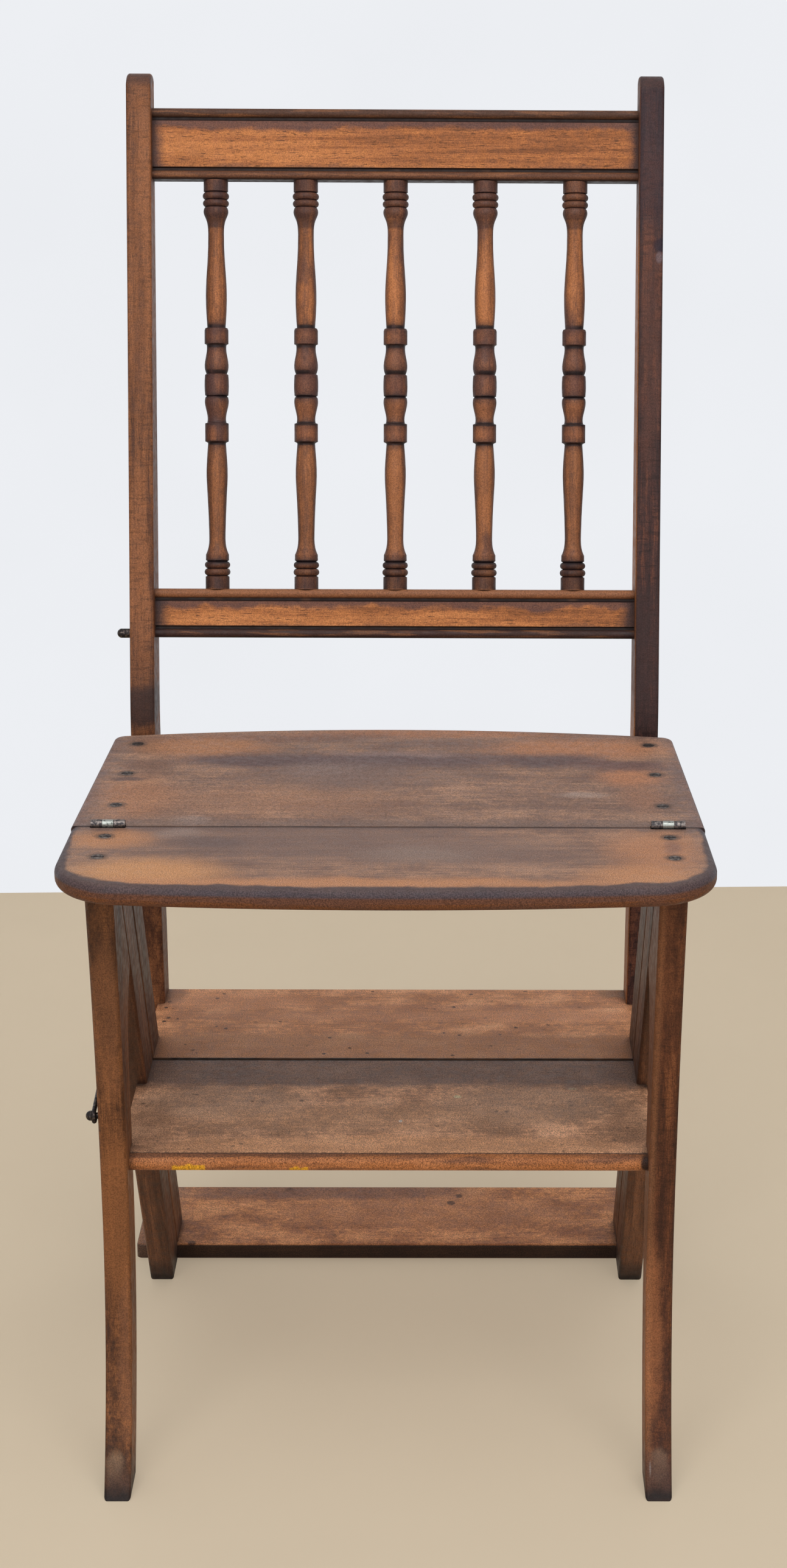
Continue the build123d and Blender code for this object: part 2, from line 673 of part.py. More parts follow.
# The whole chair
def build_nodes():
    nodes = {}

    # Seat boards, hinges and their screws
    front_leaf, rear_leaf, hinge_pin, hinge_room = hinge_parts()
    leaf_screw = (leaf_screw_head, leaf_screw_cone, leaf_screw_shank, leaf_screw_length, leaf_screw_slot)
    front_plain, front_slotted = placed_screws(leaf_screw_places(-1), leaf_screw)
    rear_plain, rear_slotted = placed_screws(leaf_screw_places(1), leaf_screw)
    front_seat = front_seat_board()
    rear_seat = rear_seat_board()
    for turned in (False, True):
        def sided(solid):
            return mirror(solid, about=Plane.YZ) if turned else solid
        side = "left" if turned else "right"
        front_seat = cut_all(front_seat, [sided(part) for part in [hinge_room, front_leaf] + front_plain])
        rear_seat = cut_all(rear_seat, [sided(part) for part in [hinge_room, rear_leaf] + rear_plain])
        nodes["front_hinge_leaf_" + side] = sided(cut_all(front_leaf, front_plain))
        nodes["rear_hinge_leaf_" + side] = sided(cut_all(rear_leaf, rear_plain))
        nodes["hinge_pin_" + side] = sided(hinge_pin)
    nodes["front_hinge_screws"] = both_sides(front_slotted)
    nodes["rear_hinge_screws"] = both_sides(rear_slotted)

    # Side frames, right side first
    step = front_step()
    upper_step = rear_step()
    leg = eased(front_leg(), edge_round)
    stringer = eased(front_stringer(), edge_round)
    back_stringer = eased(rear_stringer(), edge_round)
    post = back_post()
    bearer = rear_bearer() + bearer_tenon()
    front_pegs = front_dowels()
    rear_pegs = rear_dowels()
    leg = cut_all(leg, [step] + front_pegs)
    stringer = cut_all(stringer, [step] + front_pegs)
    back_stringer = cut_all(back_stringer, [upper_step] + rear_pegs)
    bearer = cut_all(bearer, rear_pegs)
    post = cut_all(post, [upper_step, bearer_tenon()] + rear_pegs)

    # Screws of the seat boards and of the platform
    seat_screw = (seat_screw_head, seat_screw_cone, seat_screw_shank, seat_screw_length, seat_screw_slot)
    front_places = [Pos(member_x, -place, seat_height) for place in front_screw_places]
    rear_screw_pitch = rear_screw_run / (rear_screw_count - 1)
    rear_places = [Pos(member_x, rear_screw_start + rear_screw_pitch * index, seat_height)
                   for index in range(rear_screw_count)]
    platform_places = [Pos(member_x, platform_front + place, 0) * Rot(180, 0, 0)
                       for place in platform_screw_places]
    front_cut, front_screws = placed_screws(front_places, seat_screw)
    rear_cut, rear_screws = placed_screws(rear_places, seat_screw)
    platform_cut, platform_screws = placed_screws(platform_places, seat_screw)
    leg = cut_all(leg, front_cut)
    stringer = cut_all(stringer, front_cut)
    back_stringer = cut_all(back_stringer, rear_cut + platform_cut)
    bearer = cut_all(bearer, rear_cut)
    platform = platform_board()
    for cutter in front_cut:
        front_seat = front_seat - cutter - mirror(cutter, about=Plane.YZ)
    for cutter in rear_cut:
        rear_seat = rear_seat - cutter - mirror(cutter, about=Plane.YZ)
    for cutter in platform_cut:
        platform = platform - cutter - mirror(cutter, about=Plane.YZ)

    # Rails and spindles of the back
    rails = {"lower_rail": (lower_rail_bottom, lower_rail_height), "crest_rail": (crest_bottom, crest_height)}
    spindle_foot = lower_rail_bottom + lower_rail_height
    middle = (spindle_count - 1) / 2
    places = [back_plane.location * Pos(rail_middle, spindle_foot, (index - middle) * spindle_spacing)
              for index in range(spindle_count)]
    turned_spindle = spindle()
    spindle_length = crest_bottom - spindle_foot
    tenon_bar = Pos(0, spindle_length / 2, 0) * Rot(90, 0, 0) * Cylinder(
        spindle_tenon_diameter / 2, spindle_length + 2 * spindle_tenon_length
    )
    for name, (bottom, height) in rails.items():
        tenons = rail_tenons(bottom, height)
        rail = moulded_rail(bottom, height, post_inner_x) + tenons
        post = post - tenons
        nodes[name] = cut_all(rail, [place * tenon_bar for place in places])
    for index, place in enumerate(places):
        nodes["spindle_" + str(index + 1)] = place * turned_spindle

    # Pieces that come in a left and a right copy
    frames = {"front_leg": leg, "front_stringer": stringer, "rear_stringer": back_stringer,
              "rear_seat_bearer": bearer, "back_post": post}
    for name, solid in frames.items():
        for side, copy in pairs(solid).items():
            nodes[name + "_" + side] = copy

    # Studs and the stay hook are on the left side only
    eye, post_stud, catch = stay_points()
    neck = post_outer_x - outer_x + 2 * stay_side_gap + stay_diameter
    nodes["leg_stud"] = stud(outer_x, leg_stud_end, neck, eye)
    nodes["post_stud"] = stud(post_outer_x, post_stud_end, 0, post_stud)
    nodes["front_leg_left"] = nodes["front_leg_left"] - nodes["leg_stud"]
    nodes["back_post_left"] = nodes["back_post_left"] - nodes["post_stud"]
    nodes["stay_hook"] = stay_hook()

    nodes["front_seat_board"] = front_seat
    nodes["rear_seat_board"] = rear_seat
    nodes["front_step"] = step
    nodes["rear_step"] = upper_step
    nodes["platform_board"] = platform
    nodes["front_seat_screws"] = both_sides(front_screws)
    nodes["rear_seat_screws"] = both_sides(rear_screws)
    nodes["platform_screws"] = both_sides(platform_screws)
    nodes["front_frame_dowels"] = both_sides(front_pegs)
    nodes["rear_frame_dowels"] = both_sides(rear_pegs)
    return nodes


def both_sides(solids):
    """One node of separate solids: the right ones and their left copies."""
    copies = [mirror(solid, about=Plane.YZ) for solid in solids]
    return Compound([piece for solid in solids + copies for piece in solid.solids()])


def main():
    """Write each piece with the middle of the chair's depth at Y 0, and print the joints' places."""
    os.makedirs("parts", exist_ok=True)
    nodes = build_nodes()
    boxes = [shape.bounding_box() for shape in nodes.values()]
    middle_y = (min(box.min.Y for box in boxes) + max(box.max.Y for box in boxes)) / 2
    for name, shape in nodes.items():
        export_step(Pos(0, -middle_y, 0) * shape, "parts/" + name + ".step")
    eye, post_stud, catch = stay_points()
    swing = math.degrees(math.atan2(catch[1] - eye[1], catch[0] - eye[0])) - 360 - stay_rest_angle
    print("fold axis y z", round(-middle_y, 3), axis_height)
    print("stay axis y z", round(eye[0] - middle_y, 3), eye[1], "swing", round(swing, 2))


main()
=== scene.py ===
import bpy
import math
from mathutils import Matrix, Vector

# Library step chair in old stained wood and iron. Painting places below are in millimetres, with Y 0 at the
# hinge line and Z 0 at the floor, as in the part's source. Scene objects are in metres.

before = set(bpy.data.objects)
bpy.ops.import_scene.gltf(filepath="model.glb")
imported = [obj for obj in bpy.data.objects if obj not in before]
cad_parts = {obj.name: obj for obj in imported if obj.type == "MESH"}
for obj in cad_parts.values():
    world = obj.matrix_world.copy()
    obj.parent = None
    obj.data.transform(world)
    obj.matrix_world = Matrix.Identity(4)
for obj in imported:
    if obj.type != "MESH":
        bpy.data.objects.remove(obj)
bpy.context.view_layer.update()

HINGE_LINE_Y = -0.117175
MILLIMETRES = 1000

# Camera, settled from the photograph, in metres, degrees and pixels of the photograph
CAMERA_FROM_HINGE = (0.0361, -1.64784, 1.03336)
CAMERA_PITCH = 18.568
CAMERA_HEADING = -0.629
CAMERA_ROLL = 0.362
FOCAL_PIXELS = 4400.0
SHIFT_PIXELS = -128.56
IMAGE_HEIGHT = 2576.0
SENSOR = 36.0

# Stage. A glow is the share of a backdrop that shows its plain tone whatever the light
FLOOR_REACH = 6.0
WALL_HEIGHT = 5.0
WALL_LEFT_Y = 1.0535
WALL_RIGHT_Y = 1.0835
FLOOR_TONE = (205, 189, 165)
FLOOR_GLOW = 0.45
WALL_TONE = (236, 238, 242)
WALL_GLOW = 1.0
BACKDROP_SEED = 301
BACKDROP_PATCHES = 240
BACKDROP_CHANGE = 3
BACKDROP_ROUGHNESS = 0.8
BACKDROP_SPECULAR = 0.2

# Lamps: name, place, aim, size and power
LAMPS = [
    ("key", (-1.0, -2.5, 1.4), (0, 0, 0.35), 1.4, 15),
    ("fill", (1.3, -2.4, 1.1), (0, 0, 0.3), 1.4, 9),
    ("top", (0.1, -1.3, 2.5), (0, 0, 0.3), 2.4, 38),
]
WORLD_STRENGTH = 0.53

# Sizes that the painting follows
LEAN = math.radians(13.6)
STRINGER_PITCH = math.radians(60.5)
BACK_FOOT = (0, 219, 450)
LOWER_RAIL = (64.4, 35.5)
CREST_RAIL = (394.2, 50.3)
RAIL_BEAD = 6.4
RAIL_GROOVE = 1.6
RAIL_HALF = 175.0
SEAT_TOP = 450.0
SEAT_HALF = 209.5
SEAT_FRONT = 118.5
SEAT_BOW = 12.5
SEAT_CORNER = 46.0
STEP_TOP = 227.0
STEP_FRONT = -31.0
STEP_SEAM = 126.2
PLATFORM_TOP = 12.0
MEMBER_X = 182.5
FRONT_SCREW_ROWS = (-57.5, -19.0)
REAR_SCREW_ROWS = (43.0, 109.3, 176.6)

# Directions
ACROSS = (1, 0, 0)
INTO_THE_LEFT = (-1, 0, 0)
BACKWARD = (0, 1, 0)
FORWARD = (0, -1, 0)
UPRIGHT = (0, 0, 1)
UP_THE_BACK = (0, math.sin(LEAN), math.cos(LEAN))
SLOPING_FRONT = (0, -math.cos(STRINGER_PITCH), math.sin(STRINGER_PITCH))

# Old wood. Sizes of its features in millimetres, twice across the grain and once along it
FIGURE = (26, 26, 300)
STREAKS = (4.5, 4.5, 110)
FIBRES = (0.9, 0.9, 26)
BLOTCHES = (42, 42, 90)
TICKS = (0.75, 0.75, 6.5)
CLOUDS = (24, 24, 40)
CROSS_MARKS = (9, 9, 1.5)
RUBBED_STRETCHES = (9, 9, 30)
# Sizes of what has no grain
MOTTLE = 5.5
SPECKS = 0.8
DUST_DRIFTS = 34
WAVES = 16
# How far the grain and the outlines of marks wander: size of the bends and the amount
GRAIN_WANDER = (60, 5.0)
WIDE_WANDER = (30, 16.0)
FINE_WANDER = (6, 5.0)
# Values of a noise or a shading between which a feature comes in
TICKS_FROM = (0.60, 0.70)
BLOTCHES_FROM = (0.50, 0.72)
CROSS_MARKS_FROM = (0.52, 0.66)
SPECKS_FROM = (0.30, 0.70)
CREVICES_FROM = (0.82, 0.30)
ARRISES_FROM = (0.62, 0.30)
RUBBED_FROM = (0.42, 0.62)
DUST_FROM = (0.6, 0.98)
ROUGH_FROM = (0.3, 0.7)
# Weights of the features in the tone and in the relief. Clouds, and more mottle, come in where it is cloudy
FIGURE_WEIGHT = 0.40
STREAK_WEIGHT = 0.30
FIBRE_WEIGHT = 0.18
MOTTLE_WEIGHT = 0.12
CLOUDY_MOTTLE_WEIGHT = 0.12
CLOUD_WEIGHT = 0.50
RELIEF_WEIGHTS = {"fibres": 0.35, "ticks": -0.30, "mottle": 0.35, "streaks": 0.40, "waves": 1.2}
# Strengths
FIGURE_WARP = 0.4
TONE_SPREAD = 0.14
BLOTCH_STRENGTH = 0.45
TICK_STRENGTH = 0.8
TICK_DARKNESS = 0.55
CROSS_DARKNESS = 0.6
ARRIS_REACH = 4.0
DUST_TONE = (150, 130, 116)
DUST_ROUGHNESS = 0.3
DUST_UNEVEN = (1.0, 0.25)
WOOD_ROUGHNESS = (0.42, 0.62)
WOOD_SPECULAR = 0.18
WOOD_BUMP = {"Strength": 0.25, "Distance": 0.0006}

# Old metal, in the same units
OXIDE_MOTTLE = 1.6
PITS = 0.5
PIT_RELIEF = 0.5
PIT_UNEVEN = (0.4, 0.6)
BARE_FROM = (0.62, 0.78)
BARE_GAIN = 0.4
RUBBED_STRENGTH = 0.5
METAL_ROUGH_FROM = (0.35, 0.65)
METAL_ARRIS_REACH = 0.8
METAL_ARRISES_FROM = (0.65, 0.35)
METAL_CREVICE_REACH = 1.6
METAL_CREVICES_FROM = (0.8, 0.3)
# Dirt and painted shade in the metal's corners: tone and strength
METAL_DIRT_AND_SHADE = ((24, 19, 18), 0.8)
METALLIC = 0.75
METAL_BUMP = {"Strength": 0.4, "Distance": 0.0002}

# Detail of a noise, from one smooth layer to many. Noise runs from 0 to 1 about its middle
SMOOTH = 1.0
SOFT = 2.0
PLAIN = 3.0
FINE = 4.0
CRISP = 8.0
NOISE_MIDDLE = 0.5

SPOT_EDGE = 0.35
SHADING_SAMPLES = 6
SEED_STEPS = (7.31, 3.17, 5.77)
FLECK_SEED_STEP = 1.7


def tone(red, green, blue):
    """A colour written as the values from 0 to 255 that it shows as, by the sRGB curve."""
    shares = [value / 255 for value in (red, green, blue)]
    linear = [((share + 0.055) / 1.055) ** 2.4 if share > 0.04 else share / 12.92 for share in shares]
    return (*linear, 1)


def shaded(colour, share):
    """A darker share of a tone."""
    return tuple(value * share for value in colour)


class Finish:
    """One material, painted through short calls. Places are in millimetres, Y from the hinge line."""

    def __init__(self, name, seed):
        self.material = bpy.data.materials.new(name)
        self.material.use_nodes = True
        self.nodes = self.material.node_tree.nodes
        self.links = self.material.node_tree.links
        self.shader = self.nodes["Principled BSDF"]
        self.seed = seed
        coordinates = self.node("ShaderNodeTexCoord")
        moved = self.vector("SUBTRACT", coordinates.outputs["Object"], (0, HINGE_LINE_Y, 0))
        self.place = self.vector("MULTIPLY", moved, (MILLIMETRES,) * 3)
        self.facing = coordinates.outputs["Normal"]
        self.up = self.along(UPRIGHT, self.facing)
        self.grain = self.place
        self.ragged = self.place
        self.colour = None

    def node(self, kind, inputs=None, **settings):
        made = self.nodes.new(kind)
        for name, value in settings.items():
            setattr(made, name, value)
        for key, value in (inputs or {}).items():
            self.feed(made.inputs[key], value)
        return made

    def feed(self, socket, value):
        if isinstance(value, bpy.types.NodeSocket):
            self.links.new(value, socket)
        else:
            socket.default_value = value

    def maths(self, operation, first, second=0.0):
        return self.node("ShaderNodeMath", {0: first, 1: second}, operation=operation).outputs[0]

    def vector(self, operation, first, second):
        return self.node("ShaderNodeVectorMath", {0: first, 1: second}, operation=operation).outputs[0]

    def times(self, *values):
        product = values[0]
        for value in values[1:]:
            product = self.maths("MULTIPLY", product, value)
        return product

    def plus(self, *values):
        total = values[0]
        for value in values[1:]:
            total = self.maths("ADD", total, value)
        return total

    def weighted(self, *pairs):
        """The sum of values, each times its weight."""
        return self.plus(*[self.times(value, weight) for value, weight in pairs])

    def uneven(self, noise, gain, offset):
        """Noise as a strength, stretched by a gain and moved by an offset."""
        return self.plus(self.times(noise, gain), offset)

    def along(self, direction, place=None):
        """How far a place lies along a direction."""
        made = self.node("ShaderNodeVectorMath", {0: place or self.place, 1: direction},
                         operation="DOT_PRODUCT")
        return made.outputs["Value"]

    def off_centre(self, place=None):
        """How far a place lies from the middle plane, to either side."""
        return self.maths("ABSOLUTE", self.along(ACROSS, place))

    def up_the_back(self, place):
        """How far a place lies up the leaning back."""
        return self.along(UP_THE_BACK, self.vector("SUBTRACT", place, BACK_FOOT))

    def fade(self, value, start, end):
        """0 before start and 1 past end, which may lie either way round."""
        return self.node("ShaderNodeMapRange", {"Value": value, "From Min": start, "From Max": end},
                         interpolation_type="SMOOTHSTEP").outputs["Result"]

    def span(self, value, low, high, soft):
        """1 between two values, softly 0 outside them."""
        above_low = self.fade(value, low - soft, low + soft)
        return self.times(above_low, self.fade(value, high + soft, high - soft))

    def patches(self, size, detail=SOFT, place=None, warp=0.0):
        """Noise with patches of a size, or of three sizes along the axes of the place."""
        sizes = size if isinstance(size, tuple) else (size,) * 3
        self.seed += 1
        scaled = self.node("ShaderNodeVectorMath", {
            0: place or self.place,
            1: tuple(1 / s for s in sizes),
            2: tuple(self.seed * step for step in SEED_STEPS),
        }, operation="MULTIPLY_ADD").outputs[0]
        return self.node("ShaderNodeTexNoise",
                         {"Vector": scaled, "Scale": 1.0, "Detail": detail, "Distortion": warp})

    def noise(self, size, detail=SOFT, place=None, warp=0.0):
        return self.patches(size, detail, place, warp).outputs[0]

    def grain_noise(self, size, detail=PLAIN, warp=0.0):
        return self.noise(size, detail, self.grain, warp)

    def shift(self, place, size, amount):
        """The place moved about at random, so that what is painted by it gets a ragged outline."""
        wander = self.patches(size, PLAIN).outputs["Color"]
        centred = self.vector("SUBTRACT", wander, (NOISE_MIDDLE,) * 3)
        return self.vector("ADD", place, self.vector("MULTIPLY", centred, (amount,) * 3))

    def set_grain(self, direction):
        """Coordinates whose third axis runs along the grain, and a place with ragged outlines."""
        side = Vector(BACKWARD) if direction == ACROSS else Vector(ACROSS)
        other = Vector(direction).cross(side)
        place = self.shift(self.place, *GRAIN_WANDER)
        axes = (tuple(side), tuple(other), direction)
        self.grain = self.node("ShaderNodeCombineXYZ", {index: self.along(axis, place)
                                                        for index, axis in enumerate(axes)}).outputs[0]
        self.ragged = self.shift(self.shift(self.place, *WIDE_WANDER), *FINE_WANDER)

    def mixed(self, share, first, second):
        """A mix of two colours. The node takes them at sockets 6 and 7 and gives their mix at socket 2."""
        return self.node("ShaderNodeMix", {0: share, 6: first, 7: second}, data_type="RGBA").outputs[2]

    def lay(self, mask, colour, strength):
        """Paint a tone over the colour so far."""
        self.colour = self.mixed(self.times(mask, strength), self.colour, tone(*colour))

    def spot(self, centre, radii, edge=SPOT_EDGE, place=None):
        """1 inside an ellipsoid, 0 outside."""
        off = self.vector("SUBTRACT", place or self.ragged, centre)
        scaled = self.vector("MULTIPLY", off, tuple(1 / r for r in radii))
        distance = self.node("ShaderNodeVectorMath", {0: scaled}, operation="LENGTH").outputs["Value"]
        return self.fade(distance, 1 + edge, 1 - edge)

    def shading(self, reach, inside):
        """Ambient occlusion: how open a place is outside, or how thick the piece is inside."""
        made = self.node("ShaderNodeAmbientOcclusion", {"Distance": reach / MILLIMETRES},
                         samples=SHADING_SAMPLES, inside=inside, only_local=inside)
        return made.outputs["AO"]

    def done(self, roughness, relief, bump):
        """Feed the colour, roughness and bump to the shader."""
        made = self.node("ShaderNodeBump", {"Height": relief, **bump})
        sockets = {"Base Color": self.colour, "Roughness": roughness, "Normal": made.outputs["Normal"]}
        for name, value in sockets.items():
            self.feed(self.shader.inputs[name], value)
        return self.material


def wood(name, seed, grain, tones, marks=None, dust=0.0, wear=0.5, grime_and_shade=0.6, flecks=0.5, contrast=1.0,
         cloudy=0.0, crossed=0.0, speckled=0.30, crevice_reach=9.0, worn_tone=(168, 112, 72),
         grime_and_shade_tone=(38, 27, 25)):
    """Old stained wood: grain, pores, blotches, rubbed arrises, dirt and painted shade in corners, and dust
    on top.

    The three tones run from dark to light. Dust, wear, the grime and painted shade in corners, flecks,
    crossed and speckled are strengths. Cloudy is how much of the long grain gives way to clouds, and
    crevice_reach how far the grime and painted shade spread from a corner."""
    finish = Finish(name, seed)
    finish.set_grain(grain)
    figure = finish.grain_noise(FIGURE, warp=FIGURE_WARP)
    streaks = finish.grain_noise(STREAKS)
    fibres = finish.grain_noise(FIBRES, SOFT)
    mottle = finish.noise(MOTTLE, FINE)
    blotches = finish.grain_noise(BLOTCHES)
    ticks = finish.fade(finish.grain_noise(TICKS, SMOOTH), *TICKS_FROM)
    clouds = finish.grain_noise(CLOUDS, CRISP)
    long_share = 1 - cloudy
    mixture = finish.weighted((figure, FIGURE_WEIGHT * long_share), (streaks, STREAK_WEIGHT * long_share),
                              (fibres, FIBRE_WEIGHT), (mottle, MOTTLE_WEIGHT + CLOUDY_MOTTLE_WEIGHT * cloudy),
                              (clouds, CLOUD_WEIGHT * cloudy))
    spread = TONE_SPREAD / contrast
    stretched = finish.fade(mixture, NOISE_MIDDLE - spread, NOISE_MIDDLE + spread)
    ramp = finish.node("ShaderNodeValToRGB", {"Fac": stretched})
    stops = ramp.color_ramp.elements
    stops.new(0.5)
    for stop, colour in zip(stops, tones):
        stop.color = tone(*colour)
    finish.colour = ramp.outputs["Color"]
    finish.lay(finish.fade(blotches, *BLOTCHES_FROM), tones[0], BLOTCH_STRENGTH)
    finish.lay(ticks, shaded(tones[0], TICK_DARKNESS), flecks * TICK_STRENGTH)
    if crossed:
        cross_marks = finish.fade(finish.grain_noise(CROSS_MARKS, SOFT), *CROSS_MARKS_FROM)
        finish.lay(cross_marks, shaded(tones[0], CROSS_DARKNESS), crossed)
    if marks:
        marks(finish)
    specks = finish.fade(finish.noise(SPECKS, PLAIN), *SPECKS_FROM)
    light = finish.plus(finish.times(specks, 2 * speckled), 1 - speckled)
    finish.colour = finish.node("ShaderNodeVectorMath", {0: finish.colour, "Scale": light},
                                operation="SCALE").outputs[0]
    # Grime and painted shade in corners and crevices, from ambient occlusion
    finish.lay(finish.fade(finish.shading(crevice_reach, False), *CREVICES_FROM), grime_and_shade_tone, grime_and_shade)
    arris = finish.fade(finish.shading(ARRIS_REACH, True), *ARRISES_FROM)
    rubbed = finish.times(arris, finish.fade(finish.grain_noise(RUBBED_STRETCHES), *RUBBED_FROM))
    finish.lay(rubbed, worn_tone, wear)
    drifts = finish.uneven(finish.noise(DUST_DRIFTS, FINE), *DUST_UNEVEN)
    settled = finish.times(finish.fade(finish.up, *DUST_FROM), drifts)
    finish.lay(settled, DUST_TONE, dust)
    smooth, rough = WOOD_ROUGHNESS
    roughness = finish.plus(finish.times(finish.fade(mottle, *ROUGH_FROM), rough - smooth), smooth,
                            finish.times(settled, dust * DUST_ROUGHNESS))
    finish.shader.inputs["Specular IOR Level"].default_value = WOOD_SPECULAR
    features = {"fibres": fibres, "ticks": ticks, "mottle": mottle, "streaks": streaks,
                "waves": finish.noise(WAVES)}
    relief = finish.weighted(*[(features[name], weight) for name, weight in RELIEF_WEIGHTS.items()])
    return finish.done(roughness, relief, WOOD_BUMP)


def metal(name, seed, dark, bare, shown, rough):
    """Old steel or iron: dark oxide, a shown share of bare metal where it is rubbed, and dirt and painted
    shade in corners.
    """
    finish = Finish(name, seed)
    mottle = finish.noise(OXIDE_MOTTLE, FINE)
    pits = finish.noise(PITS)
    start, full = [limit - shown * BARE_GAIN for limit in BARE_FROM]
    bare_share = finish.times(finish.fade(mottle, start, full), finish.uneven(pits, *PIT_UNEVEN))
    finish.colour = finish.mixed(bare_share, tone(*dark), tone(*bare))
    rubbed = finish.fade(finish.shading(METAL_ARRIS_REACH, True), *METAL_ARRISES_FROM)
    finish.lay(rubbed, bare, RUBBED_STRENGTH * shown)
    # Dirt and painted shade in corners and crevices, from ambient occlusion
    crevices = finish.fade(finish.shading(METAL_CREVICE_REACH, False), *METAL_CREVICES_FROM)
    finish.lay(crevices, *METAL_DIRT_AND_SHADE)
    finish.shader.inputs["Metallic"].default_value = METALLIC
    smooth, dull = rough
    roughness = finish.plus(finish.times(finish.fade(mottle, *METAL_ROUGH_FROM), smooth - dull), dull)
    return finish.done(roughness, finish.plus(mottle, finish.times(pits, PIT_RELIEF)), METAL_BUMP)


def lay_bands(finish, bands):
    """Bands: what they are measured by, where they start and are full, tone and strength."""
    for measure, start, full, colour, strength in bands:
        finish.lay(finish.fade(measure(finish), start, full), colour, strength)


def lay_patches(finish, patches, height, edge=SPOT_EDGE):
    """Ragged patches on a level board: place, half sizes, tone and strength."""
    for (x, y), (half_x, half_y), colour, strength in patches:
        finish.lay(finish.spot((x, y, height), (half_x, half_y, PATCH_DEPTH), edge), colour, strength)


def back(finish):
    return finish.along(BACKWARD)


def ragged_back(finish):
    return finish.along(BACKWARD, finish.ragged)


def ragged_side(finish):
    return finish.off_centre(finish.ragged)


def height_above_floor(finish):
    return finish.along(UPRIGHT)


# Seat. Each patch is: place, half sizes, tone, strength
REAR_SEAT_PATCHES = [
    ((-85, 52), (85, 30), (152, 108, 80), 0.45),
    ((-172, 60), (24, 44), (160, 108, 74), 0.60),
    ((20, 202), (95, 9), (158, 104, 70), 0.75),
    ((-135, 172), (44, 26), (160, 108, 72), 0.85),
    ((135, 168), (64, 22), (164, 108, 72), 0.85),
    ((165, 104), (22, 18), (170, 112, 76), 0.75),
    ((170, 60), (14, 30), (150, 104, 78), 0.50),
    ((-70, 193), (80, 9), (112, 76, 62), 0.50),
    ((-95, 139), (56, 14), (80, 62, 64), 0.92),
    ((10, 140), (75, 16), (86, 68, 70), 0.90),
    ((30, 178), (40, 10), (102, 78, 72), 0.60),
    ((112, 142), (38, 14), (80, 62, 64), 0.90),
    ((160, 130), (36, 11), (92, 64, 62), 0.85),
    ((-172, 130), (24, 10), (104, 74, 62), 0.70),
    ((-181, 97), (12, 5), (70, 54, 56), 0.80),
    ((8, 153), (42, 5), (150, 124, 116), 0.40),
    ((-34, 116), (30, 26), (100, 82, 80), 0.55),
    ((-50, 120), (22, 12), (140, 122, 116), 0.35),
    ((130, 65), (16, 6), (160, 142, 132), 0.50),
    ((-130, 12), (10, 8), (150, 132, 124), 0.50),
    ((-20, 105), (70, 24), (112, 90, 82), 0.60),
]
FRONT_SEAT_PATCHES = [
    ((-40, -30), (110, 34), (104, 84, 78), 0.75),
    ((60, -50), (60, 26), (112, 90, 82), 0.60),
    ((-178, -24), (26, 15), (172, 118, 78), 0.75),
    ((-150, -84), (46, 22), (182, 130, 86), 0.90),
    ((-20, -104), (190, 9), (176, 122, 84), 0.80),
    ((160, -88), (34, 18), (178, 124, 84), 0.80),
    ((172, -42), (28, 34), (168, 114, 78), 0.75),
    ((182, -38), (6, 12), (110, 80, 72), 0.60),
    ((20, -52), (34, 14), (134, 116, 106), 0.40),
    ((-135, -12), (16, 10), (140, 122, 114), 0.50),
    ((-115, -28), (20, 10), (84, 70, 70), 0.50),
]
PATCH_DEPTH = 60
SEAT_PATCH_EDGE = 0.6
# Each band is: measure, where it starts and is full, tone, strength
REAR_SEAT_BANDS = [
    (ragged_back, 22, 6, (100, 82, 76), 0.65),
    (ragged_side, 190, 206, (96, 76, 76), 0.60),
]
FRONT_SEAT_BANDS = [(ragged_back, -9, -2, (96, 78, 74), 0.60)]
# Each of these is: tone, strength
REAR_SEAT_EDGE = ((58, 47, 50), 0.95)
FRONT_SEAT_RIM = ((56, 48, 54), 0.92)
FRONT_SEAT_BELOW = ((100, 58, 30), 0.92)
FRONT_SEAT_STREAKS = ((84, 54, 42), 0.7)
SEAM_DIRT = ((34, 26, 29), 0.85)
SCREW_STAIN = ((52, 40, 38), 0.62)
SCREW_STAIN_RADII = (6.8, 6.0, 20)
SCREW_STAIN_EDGE = 0.3
SCREW_STAIN_WANDER = (5, 3.0)
# Where the dirt by the seam starts and is full
REAR_SEAM = (2.2, 1.0)
FRONT_SEAM = (-3.0, -1.6)
# Inset from the front edge where the dark rim starts and is full, and how far it wanders
RIM_FROM = (9.5, 5.5)
RIM_WANDER = (26, 14.0)
# How far a face looks up: where the tone below the rim starts and is full, and which faces are edges
BELOW_FROM = (0.30, -0.15)
REAR_SEAT_EDGE_FACING = (-0.75, 0.75, 0.2)
# Uneven strength of a noise: size, gain and offset
SEAM_UNEVEN = (40, 1.1, 0.2)
SEAT_EDGE_UNEVEN = ((12, 12, 50), 1.0, 0.35)
# Streaks: size, and where they come in
BELOW_STREAKS = ((5, 5, 60), 0.45, 0.62)


def streaks_along(finish, size, start, full):
    """Streaks along the grain."""
    return finish.fade(finish.grain_noise(size), start, full)


def lay_screw_stains(finish, rows):
    """A dark ring where each screw has stained the wood."""
    for side in (-MEMBER_X, MEMBER_X):
        for row in rows:
            place = finish.shift(finish.place, *SCREW_STAIN_WANDER)
            stain = finish.spot((side, row, SEAT_TOP), SCREW_STAIN_RADII, SCREW_STAIN_EDGE, place)
            finish.lay(stain, *SCREW_STAIN)


def lay_seam_dirt(finish, start, full):
    """Dirt of uneven strength along the seam between the two seat boards."""
    size, gain, offset = SEAM_UNEVEN
    uneven = finish.uneven(finish.noise(size, FINE), gain, offset)
    finish.lay(finish.times(finish.fade(back(finish), start, full), uneven), *SEAM_DIRT)


